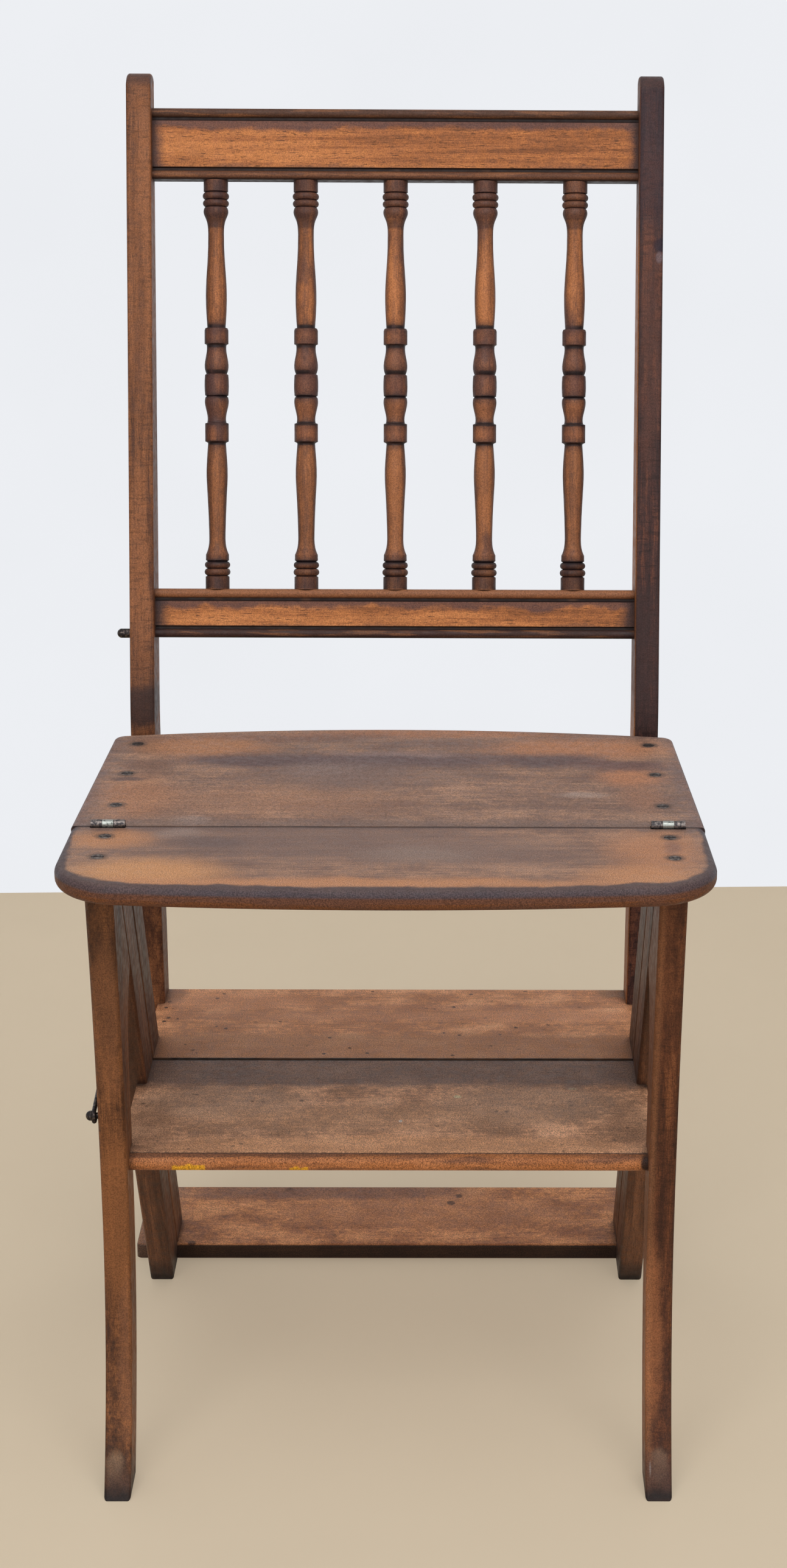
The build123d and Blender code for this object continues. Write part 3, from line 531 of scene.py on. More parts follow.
def rear_seat_marks(finish):
    lay_patches(finish, REAR_SEAT_PATCHES, SEAT_TOP, SEAT_PATCH_EDGE)
    lay_bands(finish, REAR_SEAT_BANDS)
    size, gain, offset = SEAT_EDGE_UNEVEN
    uneven = finish.uneven(finish.grain_noise(size, FINE), gain, offset)
    finish.lay(finish.times(finish.span(finish.up, *REAR_SEAT_EDGE_FACING), uneven), *REAR_SEAT_EDGE)
    lay_seam_dirt(finish, *REAR_SEAM)
    lay_screw_stains(finish, REAR_SCREW_ROWS)


def inset_from_seat_front(finish):
    """How far a place lies inside the bowed front edge of the seat, round its corners too."""
    side = finish.off_centre()
    share = finish.times(side, 1 / SEAT_HALF)
    depth = finish.plus(finish.along(FORWARD), finish.times(share, share, SEAT_BOW))
    past_side = finish.maths("MAXIMUM", finish.plus(side, SEAT_CORNER - SEAT_HALF), 0.0)
    past_front = finish.maths("MAXIMUM", finish.plus(depth, SEAT_CORNER - SEAT_FRONT), 0.0)
    squared = finish.plus(finish.times(past_side, past_side), finish.times(past_front, past_front))
    return finish.maths("SUBTRACT", SEAT_CORNER, finish.maths("SQRT", squared))


def front_seat_marks(finish):
    lay_patches(finish, FRONT_SEAT_PATCHES, SEAT_TOP, SEAT_PATCH_EDGE)
    lay_bands(finish, FRONT_SEAT_BANDS)
    size, amount = RIM_WANDER
    wander = finish.times(finish.plus(finish.noise(size, FINE), -NOISE_MIDDLE), amount)
    finish.lay(finish.fade(finish.plus(inset_from_seat_front(finish), wander), *RIM_FROM), *FRONT_SEAT_RIM)
    below = finish.fade(finish.up, *BELOW_FROM)
    finish.lay(below, *FRONT_SEAT_BELOW)
    finish.lay(finish.times(below, streaks_along(finish, *BELOW_STREAKS)), *FRONT_SEAT_STREAKS)
    lay_seam_dirt(finish, *FRONT_SEAM)
    lay_screw_stains(finish, FRONT_SCREW_ROWS)


# Steps
STEP_PATCHES = [
    ((-120, 55), (60, 26), (180, 144, 118), 0.55),
    ((95, 50), (62, 30), (180, 144, 118), 0.55),
    ((0, -14), (150, 16), (204, 148, 104), 0.60),
    ((-20, 28), (120, 20), (188, 142, 106), 0.45),
    ((165, 20), (16, 34), (140, 102, 76), 0.60),
    ((-165, 10), (20, 40), (144, 104, 76), 0.60),
]
UPPER_STEP_PATCHES = [
    ((0, 205), (170, 9), (190, 134, 102), 0.50),
    ((60, 222), (110, 5), (178, 124, 96), 0.45),
    ((-120, 232), (60, 16), (224, 158, 116), 0.50),
    ((120, 205), (60, 14), (226, 160, 118), 0.50),
    ((170, 250), (14, 12), (134, 104, 78), 0.60),
    ((-172, 245), (12, 20), (138, 100, 78), 0.60),
]
PLATFORM_PATCHES = [((30, 300), (110, 24), (176, 122, 86), 0.55)]
STEP_BACK_SHADE = (ragged_back, 74, 88, (112, 90, 82), 0.80)
STEP_SEAM_DIRT = (back, STEP_SEAM - 3.2, STEP_SEAM - 2.0, (22, 15, 14), 0.95)
# Painted shade of the seat over the front of the upper step
UPPER_STEP_FRONT_SHADE = (ragged_back, 178, 164, (174, 124, 90), 0.70)
UPPER_STEP_SEAM_DIRT = (back, STEP_SEAM + 3.2, STEP_SEAM + 2.0, (22, 15, 14), 0.95)
PLATFORM_ENDS = (ragged_side, 166, 186, (104, 78, 64), 0.6)
# Back edge of the platform: band, centre and radii of a patch of it
PLATFORM_BACK_FROM = (318, 330)
PLATFORM_BACK_CENTRE = (-60, 335, PLATFORM_TOP)
PLATFORM_BACK_RADII = (120, 20, PATCH_DEPTH)
# How far a face looks up where the platform's edges take painted shade
PLATFORM_EDGE_SHADE_FACING = (-0.7, 0.65, 0.2)
# Flecks: size, tone and strength
STEP_FLECKS = (9.0, (76, 56, 46), 0.65)
UPPER_STEP_FLECKS = (10.0, (70, 50, 42), 0.9)
PLATFORM_FLECKS = (22.0, (66, 44, 36), 0.8)
FLECK_WANDER = (4, 2.5)
FLECK_FROM = (0.20, 0.11)
FLECK_REGION = 26
FLECK_REGION_FROM = (0.46, 0.62)
# Nosing of the front step, measured back from its front, and the dirty line behind it
NOSING_FROM = (STEP_FRONT + 7.2, STEP_FRONT + 5.6)
NOSING_LINE = (STEP_FRONT + 5.4, STEP_FRONT + 7.6, 0.5)
NOSING_GRAIN = ((6, 6, 70), 0.48, 0.64)
NOSING = ((152, 92, 50), 0.9)
NOSING_STREAKS = ((96, 62, 46), 0.75)
NOSING_DIRT = ((48, 32, 28), 0.9)
LIP_FROM = (STEP_TOP - 6.8, STEP_TOP - 8.2)
# Painted shadow of the uncut gap at the right end of the nosing: place, radii, tone and strength
NOTCH_SHADOW_PLACE = (172.0, STEP_FRONT, 222)
NOTCH_SHADOW_RADII = (3.2, 9, 6)
NOTCH_SHADOW = ((34, 25, 24), 0.9)
# Drops of pale paint: place, half sizes and tone. Runs of yellow paint below the nosing: from and to
PAINT_DROPS = [
    ((46.3, 63.5), (2.6, 2.4), (214, 202, 160)),
    ((7.0, 24.4), (1.2, 1.9), (214, 208, 200)),
    ((127.6, 76.6), (3.4, 2.0), (176, 152, 124)),
]
DROP_HALF_HEIGHT = 4
DROP_EDGE = 0.15
DROP_STRENGTH = 0.85
PAINT_RUNS = [(-145.0, -123.0), (-66.6, -54.0)]
PAINT_RUN_SOFT = 0.8
YELLOW_PAINT = ((206, 150, 34), 0.9)
PLATFORM_BACK = ((118, 84, 70), 0.7)
# Painted shade on the platform's edges
PLATFORM_EDGE_SHADE = ((30, 21, 18), 0.95)


def lay_flecks(finish, size, colour, strength):
    """Small dark spots strewn unevenly."""
    finish.seed += 1
    place = finish.shift(finish.place, *FLECK_WANDER)
    scaled = finish.node("ShaderNodeVectorMath", {
        0: place,
        1: (1 / size,) * 3,
        2: (finish.seed * FLECK_SEED_STEP,) * 3,
    }, operation="MULTIPLY_ADD").outputs[0]
    cells = finish.node("ShaderNodeTexVoronoi", {"Vector": scaled, "Scale": 1.0, "Randomness": 1.0})
    flecks = finish.fade(cells.outputs["Distance"], *FLECK_FROM)
    region = finish.fade(finish.noise(FLECK_REGION), *FLECK_REGION_FROM)
    finish.lay(finish.times(flecks, region), colour, strength)


def front_step_marks(finish):
    lay_patches(finish, STEP_PATCHES, STEP_TOP)
    lay_bands(finish, [STEP_BACK_SHADE, STEP_SEAM_DIRT])
    lay_flecks(finish, *STEP_FLECKS)
    for (x, y), (half_x, half_y), colour in PAINT_DROPS:
        drop = finish.spot((x, y, STEP_TOP), (half_x, half_y, DROP_HALF_HEIGHT), DROP_EDGE, finish.place)
        finish.lay(drop, colour, DROP_STRENGTH)
    nosing = finish.fade(back(finish), *NOSING_FROM)
    finish.lay(nosing, *NOSING)
    finish.lay(finish.times(nosing, streaks_along(finish, *NOSING_GRAIN)), *NOSING_STREAKS)
    finish.lay(finish.span(back(finish), *NOSING_LINE), *NOSING_DIRT)
    # Painted shadow of the gap at the nosing's right end
    finish.lay(finish.spot(NOTCH_SHADOW_PLACE, NOTCH_SHADOW_RADII, place=finish.place), *NOTCH_SHADOW)
    lip = finish.times(finish.fade(finish.along(UPRIGHT, finish.ragged), *LIP_FROM), nosing)
    for start, end in PAINT_RUNS:
        run = finish.span(finish.along(ACROSS), start, end, PAINT_RUN_SOFT)
        finish.lay(finish.times(run, lip), *YELLOW_PAINT)


def rear_step_marks(finish):
    lay_patches(finish, UPPER_STEP_PATCHES, STEP_TOP)
    # Painted shade of the seat over its front
    lay_bands(finish, [UPPER_STEP_FRONT_SHADE])
    lay_flecks(finish, *UPPER_STEP_FLECKS)
    lay_bands(finish, [UPPER_STEP_SEAM_DIRT])


def platform_marks(finish):
    back_edge = finish.fade(ragged_back(finish), *PLATFORM_BACK_FROM)
    worn_part = finish.spot(PLATFORM_BACK_CENTRE, PLATFORM_BACK_RADII)
    finish.lay(finish.times(back_edge, worn_part), *PLATFORM_BACK)
    lay_patches(finish, PLATFORM_PATCHES, PLATFORM_TOP)
    lay_flecks(finish, *PLATFORM_FLECKS)
    # Painted shade on the platform's edge faces
    finish.lay(finish.span(finish.up, *PLATFORM_EDGE_SHADE_FACING), *PLATFORM_EDGE_SHADE)
    lay_bands(finish, [PLATFORM_ENDS])


# Rails. How far past a groove the reed's tone starts and is full, and likewise the painted shade beside the
# reeds
REED_FROM = (0.6, 1.4)
REED_STRENGTH = 0.92
SHADE_UNDER_TOP_REED_FROM = (-7.5, -3.0)
SHADE_OVER_LOW_REED_FROM = (2.5, -1.0)
# Where the rails' ends get dark, and the underside, from the ends and the bottom of the rail
RAIL_END_FROM = (RAIL_HALF - 12, RAIL_HALF - 1)
RAIL_END_STRENGTH = 0.9
RAIL_UNDERSIDE_FROM = (1.8, 0.6)
# Dirt in a groove: its middle past the groove's edge, its half width and how soft its edges are
GROOVE_OFFSET = 0.4
GROOVE_HALF = 1.3
GROOVE_SOFT = 0.45
REED_GRAIN = ((3, 3, 40), 0.50, 0.66)
# Tones of the painted shade below the top reed and above the low reed
SHADE_UNDER_TOP_REED = ((84, 58, 54), 0.85)
SHADE_OVER_LOW_REED = ((100, 66, 50), 0.55)
REED_STREAKS = ((140, 90, 56), 0.40)
GROOVE_DIRT = ((24, 16, 16), 0.95)
RAIL_UNDERSIDE = ((36, 26, 26), 0.85)


def rail_marks(rail, top_tone, low_tone, end_tone):
    """Painting of a reeded rail: bottom and height up the back, and the tones of its reeds and ends."""
    bottom, height = rail
    top_groove = bottom + height - RAIL_BEAD - RAIL_GROOVE
    low_groove = bottom + RAIL_BEAD + RAIL_GROOVE

    def marks(finish):
        level = finish.up_the_back(finish.place)
        ragged_level = finish.up_the_back(finish.ragged)
        # Painted shade below the top reed and above the low reed
        shade_under_top = finish.fade(ragged_level, *[top_groove + way for way in SHADE_UNDER_TOP_REED_FROM])
        shade_over_low = finish.fade(ragged_level, *[low_groove + way for way in SHADE_OVER_LOW_REED_FROM])
        finish.lay(shade_under_top, *SHADE_UNDER_TOP_REED)
        finish.lay(shade_over_low, *SHADE_OVER_LOW_REED)
        finish.lay(finish.fade(ragged_side(finish), *RAIL_END_FROM), end_tone, RAIL_END_STRENGTH)
        top_reed = finish.fade(level, *[top_groove + way for way in REED_FROM])
        low_reed = finish.fade(level, *[low_groove - way for way in REED_FROM])
        finish.lay(top_reed, top_tone, REED_STRENGTH)
        finish.lay(low_reed, low_tone, REED_STRENGTH)
        reeds = finish.plus(top_reed, low_reed)
        finish.lay(finish.times(reeds, streaks_along(finish, *REED_GRAIN)), *REED_STREAKS)
        for line in (top_groove + GROOVE_OFFSET, low_groove - GROOVE_OFFSET):
            groove = finish.span(level, line - GROOVE_HALF, line + GROOVE_HALF, GROOVE_SOFT)
            finish.lay(groove, *GROOVE_DIRT)
        underside = finish.fade(level, *[bottom + way for way in RAIL_UNDERSIDE_FROM])
        finish.lay(underside, *RAIL_UNDERSIDE)
    return marks


# Spindles, from the top down: share of the height where each stretch ends, its tone and strength
SPINDLE_STRETCHES = [
    (0.094, (54, 38, 39), 0.85),
    (0.116, (66, 44, 38), 0.80),
    (0.355, (150, 94, 56), 0.25),
    (0.402, (78, 50, 46), 0.70),
    (0.466, (84, 56, 50), 0.75),
    (0.526, (72, 47, 46), 0.85),
    (0.592, (92, 58, 46), 0.60),
    (0.640, (84, 52, 46), 0.55),
    (0.900, (108, 70, 48), 0.55),
    (0.932, (88, 56, 44), 0.70),
    (1.000, (40, 29, 31), 0.92),
]
SPINDLE_GROOVES = [0.355, 0.402, 0.466, 0.526, 0.592, 0.640, 0.932]
# In shares of the height too: where the first stretch starts, half widths and how soft the edges are
SPINDLE_START = -0.05
STRETCH_SOFT = 0.004
SMUDGE_HALF = 0.014
SMUDGE_SOFT = 0.010
SPINDLE_GROOVE_HALF = 0.005
SPINDLE_GROOVE_SOFT = 0.003
# Uneven strength of a noise: size, gain and offset
STRETCH_UNEVEN = ((14, 14, 22), 0.9, 0.35)
SMUDGE_UNEVEN = (7, 1.6, -0.25)
# How far a face turns sideways where the spindles' painted side shade starts and is full
SPINDLE_SIDE_SHADE_FROM = (0.55, 1.0)
DARK_STAIN_SIZE = (16, 16, 60)
DARK_STAIN_FROM = (0.52, 0.66)
SMUDGE = ((38, 28, 32), 0.75)
SPINDLE_GROOVE_DIRT = ((22, 17, 20), 0.9)
# Painted shade on the spindles' sides
SPINDLE_SIDE_SHADE = ((44, 30, 28), 0.65)
DARK_STAIN = ((74, 50, 46), 0.65)


def spindle_marks(finish):
    """Dark collars and beads, rubbed orange shafts, a stain that differs on each spindle, and painted shade
    on their sides.
    """
    low = sum(LOWER_RAIL)
    top = CREST_RAIL[0]
    share = finish.times(finish.maths("SUBTRACT", top, finish.up_the_back(finish.place)), 1 / (top - low))
    start = SPINDLE_START
    size, gain, offset = STRETCH_UNEVEN
    for end, colour, strength in SPINDLE_STRETCHES:
        uneven = finish.uneven(finish.noise(size, PLAIN), gain, offset)
        finish.lay(finish.times(finish.span(share, start, end, STRETCH_SOFT), uneven), colour, strength)
        start = end
    size, gain, offset = SMUDGE_UNEVEN
    uneven = finish.uneven(finish.noise(size, PLAIN), gain, offset)
    for groove in SPINDLE_GROOVES:
        near = finish.span(share, groove - SMUDGE_HALF, groove + SMUDGE_HALF, SMUDGE_SOFT)
        inside = finish.span(share, groove - SPINDLE_GROOVE_HALF, groove + SPINDLE_GROOVE_HALF,
                             SPINDLE_GROOVE_SOFT)
        finish.lay(finish.times(near, uneven), *SMUDGE)
        finish.lay(inside, *SPINDLE_GROOVE_DIRT)
    # Painted shade on the sides of each spindle, where they face left and right
    finish.lay(finish.fade(finish.off_centre(finish.facing), *SPINDLE_SIDE_SHADE_FROM), *SPINDLE_SIDE_SHADE)
    finish.lay(finish.fade(finish.noise(DARK_STAIN_SIZE, PLAIN), *DARK_STAIN_FROM), *DARK_STAIN)


# Legs, posts and stringers. Each patch is: centre, radii, tone, strength. Narrow ones stay exactly in place
NARROW = 6.0
LEFT_LEG_PATCHES = [
    ((-182, -50, 190), (20, 40, 60), (136, 86, 50), 0.6),
    ((-182, -30, 400), (30, 80, 60), (58, 37, 26), 0.5),
    ((-182, -50, 330), (9, 30, 60), (128, 83, 54), 0.4),
    ((-176, -55, 90), (6, 30, 60), (134, 88, 60), 0.4),
    ((-184, -91, 23), (6.5, 20, 12), (136, 108, 84), 0.7),
]
RIGHT_LEG_PATCHES = [
    ((182, -30, 390), (30, 80, 80), (66, 38, 25), 0.4),
    ((178, -55, 110), (8, 30, 60), (146, 92, 58), 0.5),
    ((183, -91, 22), (6.5, 20, 13), (132, 104, 84), 0.65),
    ((176.8, -91, 19.5), (0.8, 14, 5.5), (206, 196, 190), 0.9),
]
LEFT_POST_PATCHES = [
    ((-184, 221, 464), (30, 40, 15), (44, 29, 27), 0.85),
    ((-184, 300, 760), (8, 40, 120), (132, 84, 54), 0.35),
]
RIGHT_POST_PATCHES = [
    ((190.8, 301, 788), (5.2, 16, 5.0), (26, 20, 34), 0.95),
    ((190.0, 301, 779.5), (2.4, 16, 3.8), (104, 98, 106), 0.55),
    ((190, 320, 855), (40, 60, 60), (44, 32, 38), 0.7),
    ((184, 290, 700), (8, 40, 100), (96, 60, 48), 0.35),
    ((184, 240, 500), (20, 40, 50), (54, 36, 34), 0.6),
]
# Feet: height where the darkening ends and its tone. Its darkest part reaches a share of that height
LEFT_LEG_FOOT = (34, (68, 47, 37))
RIGHT_LEG_FOOT = (40, (70, 48, 40))
STRINGER_FOOT = (30, (40, 32, 30))
FOOT_STRENGTH = 0.75
SOLE_SHARE = 0.35
SOLE_FULL = 2.0
SOLE = ((24, 20, 20), 0.9)
RIGHT_LEG_INNER_FROM = (-180, -175)
RIGHT_LEG_INNER = ((150, 100, 66), 0.35)
RIGHT_POST_INNER_FROM = (0.5, 0.9)
RIGHT_POST_INNER = ((164, 104, 58), 0.7)
POST_TOP = (height_above_floor, 893, 899, (66, 48, 44), 0.6)


def lay_spots(finish, patches):
    for centre, radii, colour, strength in patches:
        place = finish.place if radii[0] < NARROW else finish.ragged
        finish.lay(finish.spot(centre, radii, place=place), colour, strength)


def lay_foot(finish, foot):
    """A foot that gets darker towards the floor."""
    end, colour = foot
    height = finish.along(UPRIGHT, finish.ragged)
    finish.lay(finish.fade(height, end, end * SOLE_SHARE), colour, FOOT_STRENGTH)
    finish.lay(finish.fade(height, end * SOLE_SHARE, SOLE_FULL), *SOLE)


def left_leg_marks(finish):
    lay_spots(finish, LEFT_LEG_PATCHES)
    lay_foot(finish, LEFT_LEG_FOOT)


def right_leg_marks(finish):
    lay_spots(finish, RIGHT_LEG_PATCHES)
    finish.lay(finish.fade(finish.along(INTO_THE_LEFT), *RIGHT_LEG_INNER_FROM), *RIGHT_LEG_INNER)
    lay_foot(finish, RIGHT_LEG_FOOT)


def stringer_marks(finish):
    lay_foot(finish, STRINGER_FOOT)


def left_post_marks(finish):
    lay_spots(finish, LEFT_POST_PATCHES)
    lay_bands(finish, [POST_TOP])


def right_post_marks(finish):
    inner = finish.fade(finish.along(INTO_THE_LEFT, finish.facing), *RIGHT_POST_INNER_FROM)
    finish.lay(inner, *RIGHT_POST_INNER)
    lay_spots(finish, RIGHT_POST_PATCHES)
    lay_bands(finish, [POST_TOP])


# Tones of each wood, from dark to light
SEAT_TONES = ((104, 78, 68), (136, 104, 86), (160, 122, 98))
# The steps' and the platform's tones are written lighter than their wood, as painted light that makes up for
# the seat's shade over them
STEP_TONES_WITH_PAINTED_LIGHT = ((150, 109, 80), (218, 164, 126), (242, 190, 150))
UPPER_STEP_TONES_WITH_PAINTED_LIGHT = ((184, 125, 86), (234, 167, 120), (250, 194, 150))
PLATFORM_TONES_WITH_PAINTED_LIGHT = ((146, 92, 58), (196, 134, 88), (220, 158, 110))
CREST_TONES = ((114, 68, 38), (152, 93, 53), (178, 114, 66))
LOWER_RAIL_TONES = ((124, 75, 43), (164, 102, 58), (188, 122, 72))
SPINDLE_TONES = ((94, 59, 42), (140, 88, 56), (168, 107, 66))
LEFT_POST_TONES = ((76, 46, 32), (106, 66, 42), (132, 84, 54))
RIGHT_POST_TONES = ((44, 28, 27), (64, 40, 36), (96, 58, 44))
LEFT_LEG_TONES = ((60, 37, 25), (96, 59, 35), (136, 86, 50))
RIGHT_LEG_TONES = ((58, 33, 22), (88, 50, 30), (120, 72, 43))
STRINGER_TONES = ((62, 40, 28), (90, 58, 40), (124, 82, 56))
DOWEL_TONES = ((150, 116, 82), (176, 140, 100), (194, 160, 120))

# Tones of the top reed, the low reed and the ends of each rail
CREST_PAINT = ((70, 46, 34), (84, 52, 36), (62, 44, 44))
LOWER_RAIL_PAINT = ((130, 84, 56), (42, 28, 28), (48, 36, 38))

# Settings that pieces share
SEAT_LOOK = {"grime_and_shade": 0.5, "contrast": 1.4, "cloudy": 0.5, "speckled": 0.45}
SPINDLE_LOOK = {"wear": 0.2, "grime_and_shade": 0.9, "grime_and_shade_tone": (24, 18, 22), "crevice_reach": 4.0, "contrast": 1.4}

# Spindles are numbered from the left. Each has a seed of its own, so their grain and stains differ
SPINDLES = 5
SPINDLE_SEED = 70
SPINDLE_SEED_STEP = 13

# Pieces of wood: node, material, seed, grain, tones, marks and settings
WOODEN_PIECES = [
    ("rear_seat_board", "rear_seat_wood", 11, ACROSS, SEAT_TONES, rear_seat_marks,
     {"dust": 0.14, "wear": 0.35, **SEAT_LOOK}),
    ("front_seat_board", "front_seat_wood", 23, ACROSS, SEAT_TONES, front_seat_marks,
     {"dust": 0.12, "wear": 0.25, **SEAT_LOOK}),
    ("front_step", "front_step_wood", 37, ACROSS, STEP_TONES_WITH_PAINTED_LIGHT, front_step_marks,
     {"dust": 0.10, "wear": 0.2, "grime_and_shade": 0.8, "contrast": 1.3, "cloudy": 0.8, "speckled": 0.55}),
    ("rear_step", "rear_step_wood", 41, ACROSS, UPPER_STEP_TONES_WITH_PAINTED_LIGHT, rear_step_marks,
     {"dust": 0.06, "wear": 0.3, "grime_and_shade": 0.8, "contrast": 1.2, "cloudy": 0.7, "speckled": 0.5}),
    ("platform_board", "platform_wood", 53, ACROSS, PLATFORM_TONES_WITH_PAINTED_LIGHT, platform_marks,
     {"dust": 0.04, "wear": 0.2, "grime_and_shade": 0.8, "contrast": 1.2, "cloudy": 0.8, "speckled": 0.5}),
    ("crest_rail", "crest_wood", 61, ACROSS, CREST_TONES, rail_marks(CREST_RAIL, *CREST_PAINT),
     {"wear": 0.10, "contrast": 1.1, "flecks": 0.9}),
    ("lower_rail", "lower_rail_wood", 67, ACROSS, LOWER_RAIL_TONES, rail_marks(LOWER_RAIL, *LOWER_RAIL_PAINT),
     {"wear": 0.15, "contrast": 1.3, "flecks": 0.9}),
] + [
    (f"spindle_{index}", f"spindle_{index}_wood", SPINDLE_SEED + index * SPINDLE_SEED_STEP, UP_THE_BACK,
     SPINDLE_TONES, spindle_marks, SPINDLE_LOOK) for index in range(1, SPINDLES + 1)
] + [
    ("back_post_left", "left_post_wood", 151, UP_THE_BACK, LEFT_POST_TONES, left_post_marks,
     {"wear": 0.45, "contrast": 1.6, "crossed": 0.35}),
    ("back_post_right", "right_post_wood", 163, UP_THE_BACK, RIGHT_POST_TONES, right_post_marks,
     {"wear": 0.35, "worn_tone": (130, 80, 56), "contrast": 1.6, "crossed": 0.5}),
    # On the legs the arrises are painted darker, not lighter, as dark outlines along their edges
    ("front_leg_left", "left_leg_wood", 171, UPRIGHT, LEFT_LEG_TONES, left_leg_marks,
     {"wear": 0.65, "worn_tone": (48, 30, 22), "contrast": 1.1, "crossed": 0.3}),
    ("front_leg_right", "right_leg_wood", 183, UPRIGHT, RIGHT_LEG_TONES, right_leg_marks,
     {"wear": 0.65, "worn_tone": (46, 28, 22), "contrast": 1.1, "crossed": 0.3}),
    ("front_stringer_left", "front_stringer_wood_left", 191, SLOPING_FRONT, STRINGER_TONES, stringer_marks,
     {"wear": 0.45}),
    ("rear_stringer_left", "rear_stringer_wood_left", 194, SLOPING_FRONT, STRINGER_TONES, stringer_marks,
     {"wear": 0.4}),
    ("rear_seat_bearer_left", "bearer_wood_left", 196, BACKWARD, STRINGER_TONES, None, {}),
    ("front_stringer_right", "front_stringer_wood_right", 197, SLOPING_FRONT, STRINGER_TONES, stringer_marks,
     {"wear": 0.45}),
    ("rear_stringer_right", "rear_stringer_wood_right", 200, SLOPING_FRONT, STRINGER_TONES, stringer_marks,
     {"wear": 0.4}),
    ("rear_seat_bearer_right", "bearer_wood_right", 202, BACKWARD, STRINGER_TONES, None, {}),
    ("front_frame_dowels", "front_frame_dowels_wood", 205, SLOPING_FRONT, DOWEL_TONES, None, {"wear": 0.2}),
    ("rear_frame_dowels", "rear_frame_dowels_wood", 205, SLOPING_FRONT, DOWEL_TONES, None, {"wear": 0.2}),
]

# Metals: name, seed, tone of the oxide, tone and share of the bare metal, roughness where bare and dull
OLD_METAL = (0.35, 0.6)
RUBBED_METAL = (0.28, 0.5)
METALS = [
    ("old_screw", 211, (58, 48, 46), (118, 104, 92), 0.35, OLD_METAL),
    ("old_small_screw", 217, (66, 56, 52), (126, 112, 100), 0.4, OLD_METAL),
    ("bright_knuckle", 223, (92, 94, 90), (162, 165, 158), 0.75, RUBBED_METAL),
    ("tarnished_hinge", 227, (66, 62, 63), (128, 118, 112), 0.5, OLD_METAL),
    ("dark_iron", 229, (40, 34, 33), (92, 80, 72), 0.35, OLD_METAL),
]
METAL_PIECES = {
    "old_screw": ("front_seat_screws", "rear_seat_screws", "platform_screws"),
    "old_small_screw": ("front_hinge_screws", "rear_hinge_screws"),
    "bright_knuckle": ("front_hinge_leaf_left", "front_hinge_leaf_right"),
    "tarnished_hinge": ("rear_hinge_leaf_left", "hinge_pin_left", "rear_hinge_leaf_right", "hinge_pin_right"),
    "dark_iron": ("leg_stud", "post_stud", "stay_hook"),
}


def paint(node, material):
    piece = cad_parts[node]
    piece.data.materials.clear()
    piece.data.materials.append(material)


def paint_wood():
    for node, name, seed, grain, tones, marks, settings in WOODEN_PIECES:
        paint(node, wood(name, seed, grain, tones, marks, **settings))


def paint_metal():
    for name, seed, dark, bare, shown, rough in METALS:
        material = metal(name, seed, dark, bare, shown, rough)
        for node in METAL_PIECES[name]:
            paint(node, material)


def make_camera():
    data = bpy.data.cameras.new("camera")
    data.sensor_fit = "VERTICAL"
    data.sensor_height = SENSOR
    data.sensor_width = SENSOR
    data.lens = SENSOR * FOCAL_PIXELS / IMAGE_HEIGHT
    data.shift_x = SHIFT_PIXELS / IMAGE_HEIGHT
    camera = bpy.data.objects.new("camera", data)
    heading = Matrix.Rotation(math.radians(CAMERA_HEADING), 4, "Z")
    pitch = Matrix.Rotation(math.radians(90 - CAMERA_PITCH), 4, "X")
    roll = Matrix.Rotation(math.radians(CAMERA_ROLL), 4, "Z")
    place = Vector(CAMERA_FROM_HINGE) + Vector((0, HINGE_LINE_Y, 0))
    camera.matrix_world = Matrix.Translation(place) @ heading @ pitch @ roll
    bpy.context.scene.collection.objects.link(camera)
    bpy.context.scene.camera = camera


def seen_directly(nodes, links):
    """1 for rays that show the backdrop itself, in the view, a reflection or clear glass."""
    path = nodes.new("ShaderNodeLightPath")
    seen = path.outputs["Is Camera Ray"]
    for ray in ("Is Glossy Ray", "Is Transmission Ray"):
        either = nodes.new("ShaderNodeMath")
        either.operation = "MAXIMUM"
        links.new(seen, either.inputs[0])
        links.new(path.outputs[ray], either.inputs[1])
        seen = either.outputs[0]
    return seen


def pale(name, colour, shown):
    """A pale, faintly uneven backdrop, of which a shown share looks the same whatever the light. Its back is
    clear, so that it hides nothing from behind or below."""
    finish = Finish(name, BACKDROP_SEED)
    darker = tone(*[value - BACKDROP_CHANGE for value in colour])
    lighter = tone(*[value + BACKDROP_CHANGE for value in colour])
    finish.colour = finish.mixed(finish.noise(BACKDROP_PATCHES, PLAIN), darker, lighter)
    finish.feed(finish.shader.inputs["Base Color"], finish.colour)
    finish.shader.inputs["Roughness"].default_value = BACKDROP_ROUGHNESS
    finish.shader.inputs["Specular IOR Level"].default_value = BACKDROP_SPECULAR
    glow = finish.node("ShaderNodeEmission", {"Color": finish.colour, "Strength": 1.0})
    share = finish.times(seen_directly(finish.nodes, finish.links), shown)
    front = finish.node("ShaderNodeMixShader", {0: share, 1: finish.shader.outputs[0], 2: glow.outputs[0]})
    behind = finish.node("ShaderNodeNewGeometry").outputs["Backfacing"]
    clear = finish.node("ShaderNodeBsdfTransparent")
    blend = finish.node("ShaderNodeMixShader", {0: behind, 1: front.outputs[0], 2: clear.outputs[0]})
    finish.feed(finish.nodes["Material Output"].inputs["Surface"], blend.outputs[0])
    return finish.material


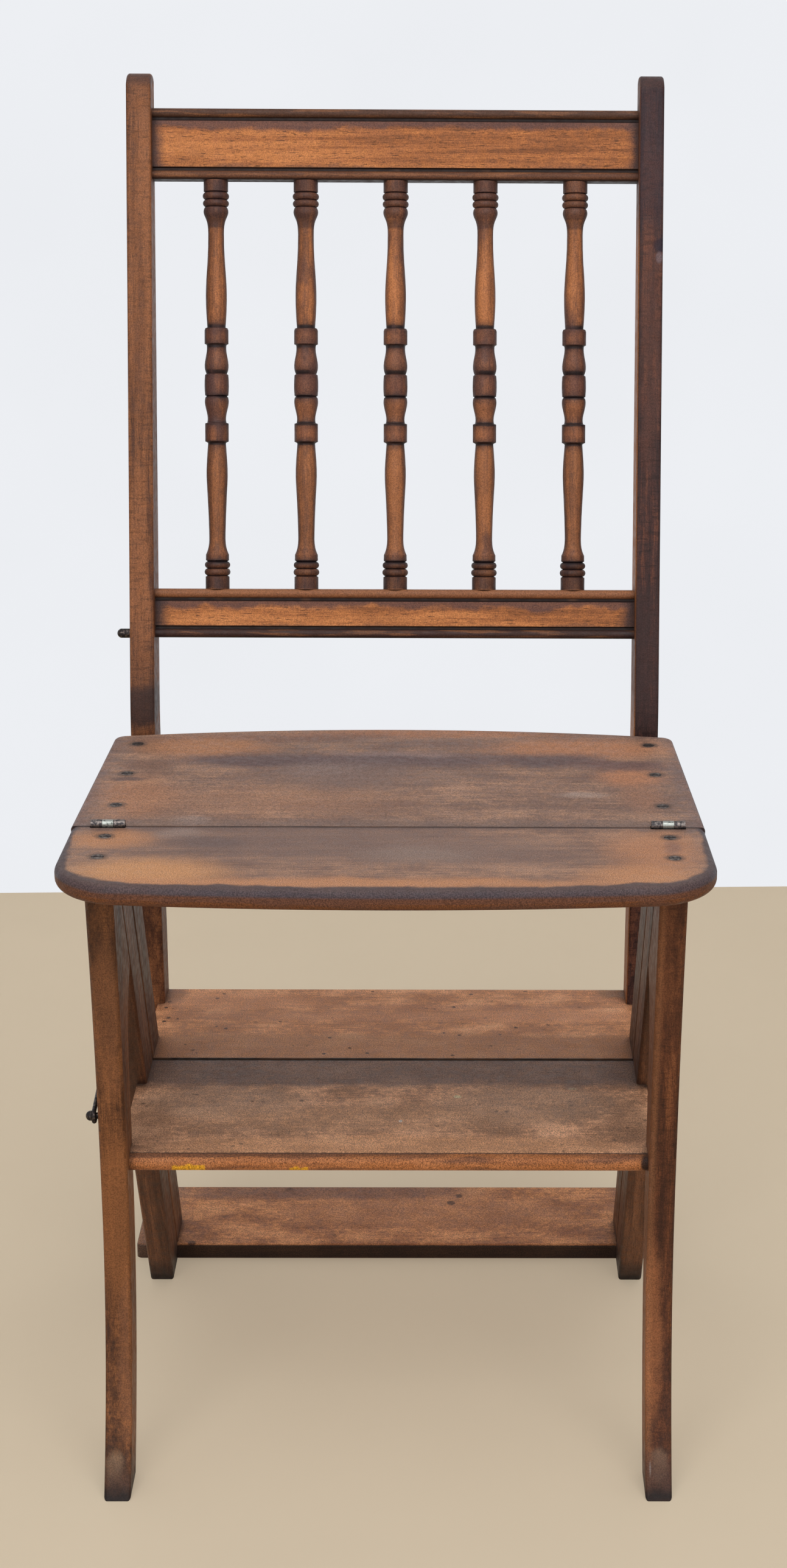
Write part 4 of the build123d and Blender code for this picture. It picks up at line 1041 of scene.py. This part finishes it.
def stage_sheet(name, corners, material):
    mesh = bpy.data.meshes.new(name)
    mesh.from_pydata(corners, [], [(0, 1, 2, 3)])
    mesh.materials.append(material)
    sheet = bpy.data.objects.new(name, mesh)
    bpy.context.scene.collection.objects.link(sheet)


def make_stage():
    turn = (WALL_RIGHT_Y - WALL_LEFT_Y) * FLOOR_REACH
    middle = (WALL_RIGHT_Y + WALL_LEFT_Y) / 2 + HINGE_LINE_Y
    left = (-FLOOR_REACH, middle - turn)
    right = (FLOOR_REACH, middle + turn)
    corners = [(-FLOOR_REACH, -FLOOR_REACH), (FLOOR_REACH, -FLOOR_REACH), (FLOOR_REACH, FLOOR_REACH),
               (-FLOOR_REACH, FLOOR_REACH)]
    stage_sheet("floor", [(*corner, 0) for corner in corners], pale("pale_floor", FLOOR_TONE, FLOOR_GLOW))
    stage_sheet("wall", [(*left, 0), (*right, 0), (*right, WALL_HEIGHT), (*left, WALL_HEIGHT)],
                pale("pale_wall", WALL_TONE, WALL_GLOW))


def make_world():
    """Even grey light, behind which the wall's tone shows."""
    world = bpy.data.worlds.new("studio")
    world.use_nodes = True
    nodes = world.node_tree.nodes
    links = world.node_tree.links
    light = nodes["Background"]
    light.inputs["Color"].default_value = (1, 1, 1, 1)
    light.inputs["Strength"].default_value = WORLD_STRENGTH
    shown = nodes.new("ShaderNodeBackground")
    shown.inputs["Color"].default_value = tone(*WALL_TONE)
    blend = nodes.new("ShaderNodeMixShader")
    links.new(seen_directly(nodes, links), blend.inputs[0])
    links.new(light.outputs[0], blend.inputs[1])
    links.new(shown.outputs[0], blend.inputs[2])
    links.new(blend.outputs[0], nodes["World Output"].inputs["Surface"])
    bpy.context.scene.world = world


def make_lamps():
    for name, place, aim, size, power in LAMPS:
        data = bpy.data.lights.new(name, "AREA")
        data.shape = "DISK"
        data.size = size
        data.energy = power
        light = bpy.data.objects.new(name, data)
        light.location = place
        light.rotation_euler = (Vector(aim) - Vector(place)).to_track_quat("-Z", "Y").to_euler()
        bpy.context.scene.collection.objects.link(light)


make_camera()
make_stage()
make_world()
make_lamps()
paint_wood()
paint_metal()

bpy.context.scene.view_settings.view_transform = "Standard"
